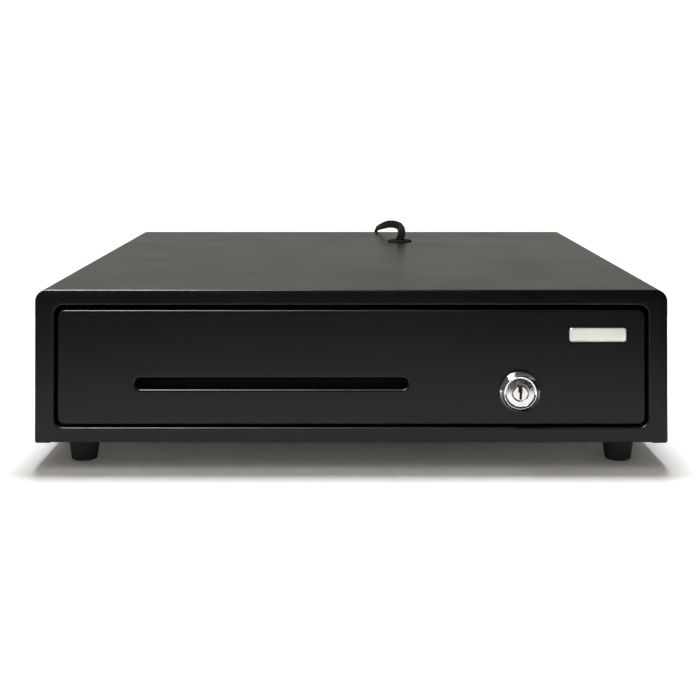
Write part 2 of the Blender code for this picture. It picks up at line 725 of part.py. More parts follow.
def make_solenoid(finishes, case, plunger):
    axis = at(PLUNGER_X, 0, PLUNGER_Z)
    low = BRACKET_Z + 0.0015 + GAP
    plate = 0.0015
    high = 0.068
    profile = [(YOKE_START, low), (YOKE_END, low), (YOKE_END, high), (YOKE_END - plate, high),
               (YOKE_END - plate, low + plate), (YOKE_START + plate, low + plate),
               (YOKE_START + plate, high), (YOKE_START, high)]
    points = [(FRONT_Y + depth, z) for depth, z in profile]
    yoke_mesh = prism(points, "X", PLUNGER_X - 0.0105, PLUNGER_X + 0.0105)
    yoke = place("solenoid_yoke", yoke_mesh, finishes["zinc_steel"], case)
    bore = turned([(0.0039, YOKE_START - 0.001), (0.0039, YOKE_START + 0.003)], "Y", axis, 20)
    combine(yoke, guide("yoke_cutter", bore))

    near, far = YOKE_START + plate + GAP, YOKE_END - plate - GAP
    flange, winding, inner = 0.0095, 0.0086, 0.0037
    profile = [(inner, near), (flange, near), (flange, near + plate), (winding, near + plate),
               (winding, far - plate), (flange, far - plate), (flange, far), (inner, far)]
    coil = turned(profile, "Y", axis, 24, ring=True)
    place("solenoid_coil", coil, finishes["coil_tape"], case)

    front, back = 0.3882, 0.404
    rod = turned([(PLUNGER_RADIUS - 0.0004, front), (PLUNGER_RADIUS, front + 0.0004),
                  (PLUNGER_RADIUS, back)], "Y", axis, 20)
    item = place("solenoid_plunger", rod, finishes["zinc_steel"], plunger)
    tab = box(at(PLUNGER_X - 0.002, PIN_DEPTH - 0.0027, 0.0584),
              at(PLUNGER_X + 0.002, front + 0.0013, 0.0606))
    combine(item, guide("plunger_tab", tab), "UNION")
    pin = turned([(0.0015, 0.0538), (0.0015, 0.0595)], "Z", at(PLUNGER_X, PIN_DEPTH, 0), 12)
    combine(item, guide("plunger_pin", pin), "UNION")


def make_switch(plastic, steel, case, lever_holder):
    low = BRACKET_Z + 0.0015 + GAP
    body = rounded(-0.090, -0.070, 0.3685, 0.3785, 0.001, 0.001, 2)
    place("open_switch", skin([level(body, low), level(body, low + 0.010)]), plastic, case)
    blade = prism([(0, -0.0003), (0.021, -0.0003), (0.021, 0.0003), (0, 0.0003)], "Z", 0.049, 0.054)
    blade.transform(Matrix.Rotation(SWITCH_REST, 4, "Z"))
    blade.transform(Matrix.Translation(at(*SWITCH_PIVOT, 0)))
    place("switch_lever", blade, steel, lever_holder)


def make_ejector(finish, holder):
    profile = [(0.003, 0.366), (0.003, 0.4102), (0.008, 0.4102), (0.008, 0.4118)]
    place("ejector_pin", turned(profile, "Y", at(EJECTOR_X, 0, EJECTOR_Z), 16), finish, holder)
    coil = helix(at(EJECTOR_X, 0.3632, EJECTOR_Z), "Y", 0.0046, 0.046, 7, 9)
    place_tube("ejector_spring", coil, 0.0006, finish, holder, 1)


# Cable

def make_inner_lead(finish, holder):
    route = [at(HOLE_X, HOLE_DEPTH, 0.1112), at(HOLE_X, 0.3205, 0.1085), at(0.041, 0.328, 0.1055),
             at(0.032, 0.345, 0.1045), at(0.018, 0.368, 0.1030), at(0.004, 0.388, 0.0940),
             at(-0.003, 0.397, 0.0800), at(-0.006, 0.3995, 0.0680), at(-0.0085, 0.3995, 0.0610),
             at(-0.0139, 0.3995, 0.0577)]
    place_tube("solenoid_lead", smooth_route(route, 0.005), 0.0015, finish, holder, 1)


def make_cord(finishes, holder):
    floor = CORD_RADIUS + 0.0001
    route = [at(HOLE_X, HOLE_DEPTH, 0.1120), at(HOLE_X, HOLE_DEPTH, 0.1165), at(0.0440, 0.3202, 0.1205),
             at(0.0428, 0.3218, 0.1243), at(0.0398, 0.3260, 0.1270), at(0.0366, 0.3330, 0.1280),
             at(0.0335, 0.3450, 0.1282), at(0.0300, 0.3610, 0.1275), at(0.0263, 0.3800, 0.1256),
             at(0.0240, 0.3980, 0.1236), at(0.0231, 0.4110, 0.1212), at(0.0226, 0.4184, 0.1172),
             at(0.0224, 0.4215, 0.1080), at(0.0222, 0.4222, 0.0800), at(0.0221, 0.4222, 0.0500),
             at(0.0220, 0.4220, 0.0300), at(0.0220, 0.4238, 0.0165), at(0.0220, 0.4290, 0.0078),
             at(0.0219, 0.4370, floor + 0.0006), at(0.0218, 0.4462, floor)]
    place_tube("cord_lead", smooth_route(route, 0.0052), CORD_RADIUS, finishes["cable"], holder)

    ring = [(COIL_INNER, 0.0), (COIL_OUTER, 0.0), (COIL_OUTER, COIL_HEIGHT), (COIL_INNER, COIL_HEIGHT)]
    centre = at(COIL_X, COIL_DEPTH, 0)
    place("cord_coil", turned(ring, "Z", centre, 40, ring=True), finishes["cable"], holder)

    tail = [(-0.0252, 0.006, 0), (-0.0246, -0.004, 0), (-0.0205, -0.0115, 0.0004),
            (-0.0150, -0.0138, 0.0010), (-0.0103, -0.0140, 0.0014)]
    points = [centre + Vector((x, y, floor + rise)) for x, y, rise in tail]
    place_tube("cord_tail", smooth_route(points, 0.004), CORD_RADIUS, finishes["cable"], holder)

    low, middle = centre.x - 0.010, centre.y - 0.014
    body = [(low, 0.0022), (low + 0.004, 0.0), (low + 0.021, 0.0), (low + 0.021, 0.00965),
            (low + 0.004, 0.00965), (low, 0.0080)]
    outlines = []
    for y in (middle - 0.0033, middle + 0.0033):
        outlines.append([Vector((x, y, z)) for x, z in body])
    place("cord_plug", skin(outlines), finishes["clear_plug"], holder)


def main():
    clear_scene()
    finishes = make_finishes()
    powder, steel = finishes["powder_coat"], finishes["zinc_steel"]
    case = group("housing", at(0, 0, 0))
    drawer = group("drawer", at(0, 0, 0.051))
    cages = {side: group(f"cage_{side}", at(x, 0, 0.051))
             for side, x in (("left", -0.191), ("right", 0.191))}
    plug = group("lock_axis", at(LOCK_X, 0, LOCK_Z))
    latch = group("latch_axis", at(LATCH_X, LATCH_DEPTH, 0))
    plunger = group("plunger_axis", at(PLUNGER_X, PIN_DEPTH, PLUNGER_Z))
    switch = group("switch_axis", at(*SWITCH_PIVOT, 0.0515))
    clips = [group(f"clip_axis_{n + 1}", at(0, ROD_DEPTH, ROD_Z)) for n in range(NOTE_BAYS)]

    make_front_frame(powder, case)
    make_top_cover(powder, case)
    make_base_pan(steel, case)
    make_back_panel(powder, case)
    make_back_screws(steel, case)
    make_feet(finishes["rubber"], steel, case)
    make_grommet(finishes["rubber"], case)
    make_keeper(steel, case)
    make_slides(steel, case, drawer, cages)
    make_drawer_front(powder, drawer)
    make_badge(finishes["silver_badge"], drawer)
    make_tub(powder, drawer)
    make_striker(steel, drawer)
    make_lock(finishes, drawer, plug)
    make_till(finishes["till_plastic"], steel, drawer, clips)
    make_bracket(steel, case)
    make_latch(steel, case, latch)
    make_solenoid(finishes, case, plunger)
    make_switch(finishes["switch_plastic"], steel, case, switch)
    make_ejector(steel, case)
    make_inner_lead(finishes["cable"], case)
    make_cord(finishes, case)


main()
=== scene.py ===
"""Visual model of a cash drawer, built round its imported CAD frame.

Metres, +Z up, the front faces -Y. Depths are measured backwards from the front plane.
"""

import json
import math

import bmesh
import bpy
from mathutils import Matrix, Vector

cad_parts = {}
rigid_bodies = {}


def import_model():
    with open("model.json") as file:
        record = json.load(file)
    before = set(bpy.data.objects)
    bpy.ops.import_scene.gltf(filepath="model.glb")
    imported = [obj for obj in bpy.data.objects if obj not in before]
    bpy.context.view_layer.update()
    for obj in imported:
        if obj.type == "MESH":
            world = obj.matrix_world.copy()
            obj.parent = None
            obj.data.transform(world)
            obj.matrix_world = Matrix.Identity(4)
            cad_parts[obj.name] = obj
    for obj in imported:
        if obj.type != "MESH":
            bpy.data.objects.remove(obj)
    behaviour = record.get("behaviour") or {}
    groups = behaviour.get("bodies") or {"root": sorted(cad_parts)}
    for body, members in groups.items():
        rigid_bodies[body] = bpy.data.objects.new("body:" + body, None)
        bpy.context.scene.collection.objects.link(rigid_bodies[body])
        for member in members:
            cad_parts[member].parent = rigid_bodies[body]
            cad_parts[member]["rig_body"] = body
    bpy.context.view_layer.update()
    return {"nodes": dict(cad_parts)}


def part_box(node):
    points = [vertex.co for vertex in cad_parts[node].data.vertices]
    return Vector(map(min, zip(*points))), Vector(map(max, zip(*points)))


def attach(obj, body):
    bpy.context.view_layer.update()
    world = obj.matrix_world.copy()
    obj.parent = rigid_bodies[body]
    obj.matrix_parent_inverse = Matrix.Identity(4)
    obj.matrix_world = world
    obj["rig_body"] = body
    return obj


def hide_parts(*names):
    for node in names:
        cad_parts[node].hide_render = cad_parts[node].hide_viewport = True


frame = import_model()

# Sizes shared with the CAD
SHEET, GAP = 0.0012, 0.0003
FRONT_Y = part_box("front_frame")[0].y
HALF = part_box("top_cover")[1].x
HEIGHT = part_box("top_cover")[1].z
CASE_CORNER = 0.0075
CASE_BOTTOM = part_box("top_cover")[0].z
FRAME_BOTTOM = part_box("front_frame")[0].z
OPENING_HALF, OPENING_LOW, OPENING_HIGH, OPENING_CORNER = 0.1926, 0.0260, 0.1052, 0.006
LOCK_X, LOCK_Z = 0.1088, 0.0497
HOLE_X, HOLE_DEPTH, HOLE_RADIUS = 0.0434, 0.320, 0.0095
TILL_WALL = 0.0025
NOTE_BAYS, NOTE_START, NOTE_FLOOR = 4, 0.153, 0.033
COIN_ROWS, COIN_COLUMNS = 2, 4
COIN_START, COIN_END, COIN_FLOOR = 0.0345, 0.1505, 0.044
ROD_DEPTH, ROD_Z = 0.262, 0.060

# Flat cable and its coil
RIBBON_WIDTH, RIBBON_THICK = 0.0068, 0.0025
COIL_X, COIL_DEPTH, COIL_Z = -0.020, 0.470, 0.0039
COIL_START, COIL_PITCH, COIL_TURNS, COIL_KNOTS = 0.0435, 0.00265, 4.36, 12

# Shapes that are finer here than in the CAD
FRAME_ROUND, EDGE, CROWN = 0.003, 0.0008, 0.0005
FACE_CORNER = 0.0045
SLOT_LEFT, SLOT_RIGHT, SLOT_LOW, SLOT_HIGH = -0.1402, 0.0370, 0.0505, 0.0580
SLOT_LIP, SLOT_LIP_DEPTH = 0.0018, 0.0011
RIVET_X, RIVET_DEPTH = 0.116, 0.0068
RIM = 0.0008

# Two directions across an axis, and the axis
AXES = {
    "X": (Vector((0, 1, 0)), Vector((0, 0, 1)), Vector((1, 0, 0))),
    "Y": (Vector((1, 0, 0)), Vector((0, 0, 1)), Vector((0, 1, 0))),
    "Z": (Vector((1, 0, 0)), Vector((0, 1, 0)), Vector((0, 0, 1))),
}


def at(x, depth, z):
    """World point for a place given by its depth behind the front plane."""
    return Vector((x, FRONT_Y + depth, z))


# Camera

CAMERA_X, CAMERA_DISTANCE, CAMERA_HEIGHT = 0.0002, 0.8295, 0.228
SENSOR, LENS, LENS_SHIFT = 36.0, 65.9, (-0.0022, -0.335)


def make_camera():
    """A camera that looks level at the front, its lens shifted down."""
    data = bpy.data.cameras.new("camera")
    data.sensor_width = SENSOR
    data.lens = LENS
    data.shift_x, data.shift_y = LENS_SHIFT
    camera = linked("camera", data)
    camera.location = (CAMERA_X, FRONT_Y - CAMERA_DISTANCE, CAMERA_HEIGHT)
    camera.rotation_euler = (math.radians(90), 0, 0)
    bpy.context.scene.camera = camera


# Finishes

def node(tree, kind, **values):
    """A new shader node; each value is an input's, or a setting of the node."""
    made = tree.nodes.new(kind)
    for key, value in values.items():
        if key in made.inputs:
            made.inputs[key].default_value = value
        else:
            setattr(made, key, value)
    return made


def noise(tree, place, scale, detail, stretch=None):
    """A noise at a place in the object, drawn out along an axis whose stretch is small."""
    if stretch:
        mapping = node(tree, "ShaderNodeMapping", Scale=stretch)
        tree.links.new(place, mapping.inputs["Vector"])
        place = mapping.outputs["Vector"]
    made = node(tree, "ShaderNodeTexNoise", Scale=scale, Detail=detail, Roughness=0.55)
    tree.links.new(place, made.inputs["Vector"])
    return made.outputs["Fac"]


def mapped(tree, value, span, target, **values):
    """A value carried over from one span to another."""
    made = node(tree, "ShaderNodeMapRange", **values)
    tree.links.new(value, made.inputs["Value"])
    for key, number in zip(("From Min", "From Max", "To Min", "To Max"), (*span, *target)):
        made.inputs[key].default_value = number
    return made.outputs["Result"]


def spread(tree, value, low, high):
    """Maps the middle of a noise to a span."""
    return mapped(tree, value, (0.3, 0.7), (low, high))


def blend_colours(tree, factor, low, high):
    """A colour between two, by a factor."""
    made = node(tree, "ShaderNodeMix", data_type="RGBA")
    tree.links.new(factor, made.inputs["Factor"])
    colours = [socket for socket in made.inputs if socket.type == "RGBA"]
    for socket, colour in zip(colours, (low, high)):
        socket.default_value = (*colour, 1)
    return [socket for socket in made.outputs if socket.type == "RGBA"][0]


def mixed(tree, factor, first, second):
    """A number that turns from the socket first into the number second, by a factor."""
    made = node(tree, "ShaderNodeMix")
    factor_in, _, first_in, second_in = made.inputs[:4]
    tree.links.new(factor, factor_in)
    tree.links.new(first, first_in)
    second_in.default_value = second
    return made.outputs[0]


def finish_of(name, colour, roughness, metallic=0.0, grain=(900, 3e-5), broad=20, tint=0.10,
              rough_span=0.06, lines=None, spangle=None, sockets=()):
    """A finish with a fine grain, broad unevenness, and drawn lines or crystals where it has them.

    grain is (noise scale, bump height); lines are (stretch, noise scale, bump height).
    """
    look = bpy.data.materials.new(name)
    look.use_nodes = True
    tree = look.node_tree
    shader = tree.nodes["Principled BSDF"]
    shader.inputs["Metallic"].default_value = metallic
    for key, value in sockets:
        shader.inputs[key].default_value = value
    place = node(tree, "ShaderNodeTexCoord").outputs["Object"]
    shade = noise(tree, place, broad, 4.0)
    fine = noise(tree, place, grain[0], 2.0)
    if spangle:
        crystals = node(tree, "ShaderNodeTexVoronoi", Scale=spangle)
        tree.links.new(place, crystals.inputs["Vector"])
        split = tree.nodes.new("ShaderNodeSeparateColor")
        tree.links.new(crystals.outputs["Color"], split.inputs["Color"])
        shade = split.outputs["Red"]
    low = [c * (1 - tint) for c in colour]
    high = [min(1.0, c * (1 + tint)) for c in colour]
    tree.links.new(blend_colours(tree, shade, low, high), shader.inputs["Base Color"])
    both = node(tree, "ShaderNodeMath", operation="ADD")
    tree.links.new(spread(tree, fine, roughness - rough_span / 2, roughness + rough_span / 2),
                   both.inputs[0])
    tree.links.new(spread(tree, shade, -rough_span / 2, rough_span / 2), both.inputs[1])
    tree.links.new(both.outputs[0], shader.inputs["Roughness"])
    bump = node(tree, "ShaderNodeBump", Strength=1.0, Distance=grain[1])
    tree.links.new(fine, bump.inputs["Height"])
    if lines:
        stretch, scale, height = lines
        drawn = node(tree, "ShaderNodeBump", Strength=1.0, Distance=height)
        tree.links.new(noise(tree, place, scale, 2.0, stretch=stretch), drawn.inputs["Height"])
        tree.links.new(bump.outputs["Normal"], drawn.inputs["Normal"])
        bump = drawn
    tree.links.new(bump.outputs["Normal"], shader.inputs["Normal"])
    return look


def make_looks():
    """Every finish by name."""
    along_x, along_y = (0.03, 1.0, 1.0), (1.0, 0.03, 1.0)
    return {
        "powder": finish_of("powder_coat_look", (0.0024, 0.0025, 0.0024), 0.33,
                            grain=(1300, 1.8e-5), broad=14, tint=0.12,
                            sockets=[("Specular IOR Level", 0.27),
                                     ("Specular Tint", (0.93, 1.0, 1.0, 1.0))]),
        "inner_powder": finish_of("inner_powder_look", (0.013, 0.013, 0.0128), 0.48,
                                  grain=(1100, 3e-5), broad=12, tint=0.15),
        "zinc": finish_of("zinc_look", (0.56, 0.57, 0.58), 0.36, 1.0, grain=(700, 8e-6), tint=0.14,
                          rough_span=0.16, spangle=170),
        "rolled": finish_of("rolled_steel_look", (0.58, 0.59, 0.60), 0.30, 1.0, grain=(900, 6e-6),
                            tint=0.08, rough_span=0.10, lines=(along_y, 1400, 6e-6)),
        "chrome": finish_of("chrome_look", (0.80, 0.80, 0.81), 0.085, 1.0, grain=(260, 1.2e-6),
                            broad=60, tint=0.03, rough_span=0.04),
        "satin": finish_of("satin_nickel_look", (0.62, 0.62, 0.60), 0.27, 1.0, grain=(1400, 1.6e-5),
                           broad=90, tint=0.08, rough_span=0.12, lines=(along_x, 2200, 8e-6)),
        "nickel": finish_of("nickel_look", (0.74, 0.68, 0.62), 0.20, 1.0, grain=(800, 5e-6),
                            broad=120, rough_span=0.10, lines=(along_x, 2600, 8e-6)),
        "badge": finish_of("badge_look", (0.93, 0.93, 0.90), 0.36, 0.12, grain=(1500, 6e-6),
                           broad=50, tint=0.05, rough_span=0.08, lines=(along_x, 3000, 1e-5)),
        "badge_rim": finish_of("badge_rim_look", (0.90, 0.90, 0.88), 0.25, 0.30, grain=(1500, 6e-6),
                               broad=50, tint=0.08),
        "rubber": finish_of("rubber_look", (0.021, 0.021, 0.0213), 0.78, grain=(700, 5e-5),
                            broad=90, tint=0.20, rough_span=0.12,
                            sockets=[("Specular IOR Level", 0.15)]),
        "till": finish_of("till_plastic_look", (0.020, 0.020, 0.022), 0.50, grain=(950, 6e-5),
                          broad=30, rough_span=0.08),
        "switch": finish_of("switch_plastic_look", (0.045, 0.045, 0.052), 0.42, grain=(1200, 2e-5),
                            broad=120),
        "tape": finish_of("coil_tape_look", (0.50, 0.31, 0.05), 0.42, grain=(900, 1e-5), broad=140,
                          tint=0.18, rough_span=0.10, lines=((1.0, 1.0, 0.05), 900, 3e-5)),
        "cable": finish_of("cable_look", (0.0035, 0.0035, 0.0036), 0.78, grain=(1600, 1.5e-5),
                           broad=160, tint=0.25, rough_span=0.12,
                           sockets=[("Specular IOR Level", 0.09)]),
        "clear": finish_of("clear_plug_look", (0.86, 0.89, 0.90), 0.10, grain=(500, 4e-6),
                           broad=200, tint=0.03, rough_span=0.05,
                           sockets=[("Transmission Weight", 0.75), ("IOR", 1.585)]),
        "gold": finish_of("contact_look", (0.83, 0.60, 0.22), 0.20, 1.0, grain=(900, 4e-6),
                          broad=200, tint=0.06),
        "foam": finish_of("pad_look", (0.016, 0.016, 0.018), 0.80, grain=(1500, 9e-5), broad=120,
                          tint=0.25, sockets=[("Specular IOR Level", 0.25)]),
    }


# Shapes

def to_mesh(shape, angle=32):
    """A mesh with its faces pointing out, smooth up to an angle in degrees."""
    bmesh.ops.recalc_face_normals(shape, faces=shape.faces)
    mesh = bpy.data.meshes.new("shape")
    shape.to_mesh(mesh)
    shape.free()
    mesh.shade_smooth()
    mesh.set_sharp_from_angle(angle=math.radians(angle))
    return mesh


def skin(outlines, ring=False, angle=32):
    """Faces between outlines with equal point counts; the ends are capped, or joined as a ring."""
    shape = bmesh.new()
    rows = [[shape.verts.new(point) for point in outline] for outline in outlines]
    pairs = list(zip(rows, rows[1:]))
    if ring:
        pairs.append((rows[-1], rows[0]))
    for near, far in pairs:
        for i in range(len(near)):
            j = (i + 1) % len(near)
            shape.faces.new((near[i], near[j], far[j], far[i]))
    if not ring:
        shape.faces.new(rows[0])
        shape.faces.new(list(reversed(rows[-1])))
    return to_mesh(shape, angle)


def prism(points, axis, low, high):
    """An outline drawn out along an axis, from low to high."""
    across, up, along = AXES[axis]
    return skin([[across * a + up * b + along * end for a, b in points] for end in (low, high)])


def box(low, high):
    """A box between two corners."""
    outline = [(low[0], low[1]), (high[0], low[1]), (high[0], high[1]), (low[0], high[1])]
    return prism(outline, "Z", low[2], high[2])


def turned(profile, axis, centre, segments=64, ring=False, angle=32):
    """A turned piece: the profile holds (radius, distance along the axis from the centre)."""
    across, up, along = AXES[axis]
    outlines = []
    for radius, distance in profile:
        outline = []
        for i in range(segments):
            turn = 2 * math.pi * i / segments
            spoke = across * math.cos(turn) + up * math.sin(turn)
            outline.append(centre + along * distance + spoke * radius)
        outlines.append(outline)
    return skin(outlines, ring, angle=angle)


def arc(centre, radius, start, end, steps):
    """Points along an arc, from one angle in degrees to another."""
    points = []
    for i in range(steps + 1):
        turn = math.radians(start + (end - start) * i / steps)
        points.append((centre[0] + radius * math.cos(turn), centre[1] + radius * math.sin(turn)))
    return points


def rounded(left, right, low, high, top_radius, low_radius, steps=12):
    """The outline of a rectangle with round corners."""
    points = arc((right - top_radius, high - top_radius), top_radius, 0, 90, steps)
    points += arc((left + top_radius, high - top_radius), top_radius, 90, 180, steps)
    points += arc((left + low_radius, low + low_radius), low_radius, 180, 270, steps)
    points += arc((right - low_radius, low + low_radius), low_radius, 270, 360, steps)
    return points


def upright(points, depth):
    """(x, z) points as an outline that stands at a depth."""
    return [at(x, depth, z) for x, z in points]


def level(points, z):
    """(x, depth) points as an outline that lies at a height."""
    return [at(x, depth, z) for x, depth in points]


def quarter(steps, start=0, end=90):
    """(1 - cos, 1 - sin) pairs of even turns, for rounding an edge over a quarter circle."""
    turns = [math.radians(start + (end - start) * i / steps) for i in range(steps + 1)]
    return [(1 - math.cos(turn), 1 - math.sin(turn)) for turn in turns]


def joined(meshes, angle=32):
    """Several meshes as one."""
    shape = bmesh.new()
    for mesh in meshes:
        shape.from_mesh(mesh)
    return to_mesh(shape, angle)


def smooth_route(knots, spacing):
    """Evenly spaced (point, side) pairs on a centripetal curve through the knots."""
    pieces = 16
    before = (2 * knots[0][0] - knots[1][0], knots[0][1])
    after = (2 * knots[-1][0] - knots[-2][0], knots[-1][1])
    knots = [before, *knots, after]
    fine = []
    for (p0, _), (p1, side1), (p2, side2), (p3, _) in zip(knots, knots[1:], knots[2:], knots[3:]):
        t0 = 0.0
        t1 = t0 + math.sqrt((p1 - p0).length)
        t2 = t1 + math.sqrt((p2 - p1).length)
        t3 = t2 + math.sqrt((p3 - p2).length)
        for i in range(pieces):
            t = t1 + (t2 - t1) * i / pieces
            a1 = p0.lerp(p1, (t - t0) / (t1 - t0))
            a2 = p1.lerp(p2, (t - t1) / (t2 - t1))
            a3 = p2.lerp(p3, (t - t2) / (t3 - t2))
            b1 = a1.lerp(a2, (t - t0) / (t2 - t0))
            b2 = a2.lerp(a3, (t - t1) / (t3 - t1))
            point = b1.lerp(b2, (t - t1) / (t2 - t1))
            fine.append((point, side1.lerp(side2, i / pieces)))
    fine.append(knots[-2])
    total = sum((b[0] - a[0]).length for a, b in zip(fine, fine[1:]))
    count = max(2, round(total / spacing))
    step = total / count
    even = [fine[0]]
    walked = 0.0
    for a, b in zip(fine, fine[1:]):
        length = (b[0] - a[0]).length
        while len(even) < count and walked + length >= step * len(even):
            share = (step * len(even) - walked) / length
            even.append((a[0].lerp(b[0], share), a[1].lerp(b[1], share)))
        walked += length
    even.append(fine[-1])
    return even


def swept(route, section):
    """A section of (side, over) points, carried along (point, side) pairs."""
    outlines = []
    for i, (point, side) in enumerate(route):
        along = (route[min(i + 1, len(route) - 1)][0] - route[max(i - 1, 0)][0]).normalized()
        side = (side - along * side.dot(along)).normalized()
        over = along.cross(side)
        outlines.append([point + side * a + over * b for a, b in section])
    return skin(outlines, angle=60)


def helix(centre, axis, radius, length, turns, per_turn):
    """(point, outward side) pairs of a helix that starts at the centre and runs along the axis."""
    across, up, along = AXES[axis]
    points = []
    for i in range(int(turns * per_turn) + 1):
        turn = 2 * math.pi * i / per_turn
        spoke = across * math.cos(turn) + up * math.sin(turn)
        points.append((centre + spoke * radius + along * (length * i / (turns * per_turn)), spoke))
    return points


def circle(radius, sides=10):
    """The section of a wire."""
    return arc((0, 0), radius, 0, 360 - 360 / sides, sides - 1)


# Placing

def middle_of(name):
    """The middle of a CAD node's box."""
    low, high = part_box(name)
    return (low + high) / 2


def linked(name, data):
    """A new object in the scene."""
    item = bpy.data.objects.new(name, data)
    bpy.context.scene.collection.objects.link(item)
    return item


def place(name, mesh, look, body, slot=None, nodes=()):
    """A piece in its place, riding on its body; it may stand for CAD nodes."""
    mesh.name = name
    mesh.materials.clear()
    mesh.materials.append(look)
    item = linked(name, mesh)
    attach(item, body)
    if nodes:
        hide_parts(*nodes)
    return item


def cut(item, cutter_mesh):
    """Cuts a shape out of a piece at once."""
    cutter = linked("cutter", cutter_mesh)
    change = item.modifiers.new("cut", "BOOLEAN")
    change.operation = "DIFFERENCE"
    change.object = cutter
    settle(item)
    bpy.data.objects.remove(cutter)


def settle(item):
    """Applies a piece's modifiers."""
    graph = bpy.context.evaluated_depsgraph_get()
    mesh = bpy.data.meshes.new_from_object(item.evaluated_get(graph))
    item.modifiers.clear()
    item.data = mesh


def even_shading(item):
    """Shades the flat faces of a piece flat, and applies its modifiers."""
    weight = item.modifiers.new("even_shading", "WEIGHTED_NORMAL")
    weight.keep_sharp = True
    settle(item)


def soften(item, width, segments=2, angle=40):
    """Rounds a piece's sharp edges."""
    change = item.modifiers.new("rounded_edges", "BEVEL")
    change.width = width
    change.segments = segments
    change.limit_method = "ANGLE"
    change.angle_limit = math.radians(angle)
    change.miter_outer = "MITER_ARC"
    even_shading(item)


def softened(name, look, slot, width=0.0003, segments=2):
    """A CAD node's shape with its edges rounded, in place of the node."""
    source = frame["nodes"][name]
    shape = bmesh.new()
    shape.from_mesh(source.data)
    bmesh.ops.remove_doubles(shape, verts=shape.verts, dist=1e-6)
    bmesh.ops.dissolve_limit(shape, angle_limit=math.radians(0.8), verts=shape.verts,
                             edges=shape.edges)
    item = place(f"{name}_detail", to_mesh(shape, 40), look, source["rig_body"], slot, [name])
    if width:
        soften(item, width, segments)
    return item


# Cable

def ribbon_section():
    """The cable's flat section."""
    half_width, half_thick, corner = RIBBON_WIDTH / 2, RIBBON_THICK / 2, 0.00105
    return rounded(-half_width, half_width, -half_thick, half_thick, corner, corner, 4)


def cable_knots():
    """The route up out of the hole, over the back edge, down, round the coil and to the plug.

    Each knot is a point with the direction of the ribbon's width.
    """
    x_way, y_way, z_way = Vector((1, 0, 0)), Vector((0, 1, 0)), Vector((0, 0, 1))
    flat = RIBBON_THICK / 2 + 0.0005
    route = [
        (HOLE_X, HOLE_DEPTH, 0.1120, x_way), (HOLE_X, HOLE_DEPTH, 0.1165, x_way),
        (0.0449, 0.3202, 0.1210, x_way), (0.0450, 0.3214, 0.1252, x_way + 0.4 * z_way),
        (0.0432, 0.3245, 0.1282, z_way + 0.6 * x_way), (0.0404, 0.3300, 0.1291, z_way),
        (0.0373, 0.3420, 0.1287, z_way), (0.0338, 0.3600, 0.1270, z_way),
        (0.0303, 0.3800, 0.1242, z_way + 0.3 * x_way),
        (0.0275, 0.4000, 0.1213, z_way + 0.6 * x_way),
        (0.0254, 0.4115, 0.1190, z_way + 0.6 * x_way + 0.4 * y_way),
        (0.0243, 0.4195, 0.1163, z_way + 0.4 * x_way + y_way),
        (0.0238, 0.4220, 0.1080, y_way), (0.0234, 0.4224, 0.0800, y_way + 0.35 * x_way),
        (0.0232, 0.4222, 0.0500, y_way + 1.4 * x_way), (0.0225, 0.4220, 0.0300, x_way),
        (0.0222, 0.4236, 0.0158, x_way), (0.0220, 0.4290, 0.0066, x_way),
        (0.0219, 0.4370, flat + 0.0007, x_way), (0.0219, 0.4462, flat, x_way),
        (0.0225, 0.4560, flat + 0.0004, x_way + 0.15 * z_way),
    ]
    knots = [(at(x, depth, z), side.normalized()) for x, depth, z, side in route]

    # The ribbon turns onto its edge over the first few knots of the coil
    centre = at(COIL_X, COIL_DEPTH, 0)
    on_edge, on_edge_step = 0.12, 0.22
    for i in range(round(COIL_TURNS * COIL_KNOTS) + 1):
        turn = 2 * math.pi * i / COIL_KNOTS
        spoke = Vector((math.cos(turn), math.sin(turn), 0))
        share = min(1.0, on_edge + i * on_edge_step)
        radius = COIL_START - COIL_PITCH * i / COIL_KNOTS
        height = flat + (COIL_Z - flat) * share
        side = (spoke * (1 - share) + z_way * share).normalized()
        knots.append((centre + spoke * radius + Vector((0, 0, height)), side))

    # From the inner turn to the plug, measured from the coil's centre
    for x, y, z in [(-0.0258, 0.0060, COIL_Z), (-0.0246, -0.0040, COIL_Z),
                    (-0.0205, -0.0110, COIL_Z + 0.0003), (-0.0150, -0.0138, 0.0045),
                    (-0.0100, -0.0140, 0.0048), (-0.0070, -0.0140, 0.0048)]:
        knots.append((centre + Vector((x, y, z)), z_way))
    return knots


def make_cable(looks):
    """The flat cable with its plug and the tie round its coil."""
    route = smooth_route(cable_knots(), 0.0013)
    cable = place("flat_cable", swept(route, ribbon_section()), looks["cable"], "housing", "cable",
                  ["cord_lead", "cord_coil", "cord_tail"])
    plug = make_plug(looks)
    tie = make_tie(looks)


def make_tie(looks):
    """A hook-and-loop strip round the coil."""
    thick, half_width, room, corner = 0.0004, 0.0040, 0.0018, 0.0012
    turn = math.radians(-60)
    spoke = Vector((math.cos(turn), math.sin(turn), 0))
    across = Vector((-spoke.y, spoke.x, 0))
    centre = at(COIL_X, COIL_DEPTH, 0)
    inner, outer = COIL_START - COIL_PITCH * COIL_TURNS - room, COIL_START + room
    low, high = 0.0001, COIL_Z + RIBBON_WIDTH / 2 + 0.0005
    inside, outside = [rounded(inner - grow + thick, outer + grow - thick, low + thick - grow,
                               high - thick + grow, corner + grow, corner + grow, 5)
                       for grow in (0.0, thick)]
    rows = []
    for offset, loop in ((-half_width, outside), (half_width, outside), (half_width, inside),
                         (-half_width, inside)):
        rows.append([centre + spoke * r + across * offset + Vector((0, 0, z)) for r, z in loop])
    return place("cable_tie", skin(rows, ring=True), looks["foam"], "housing")


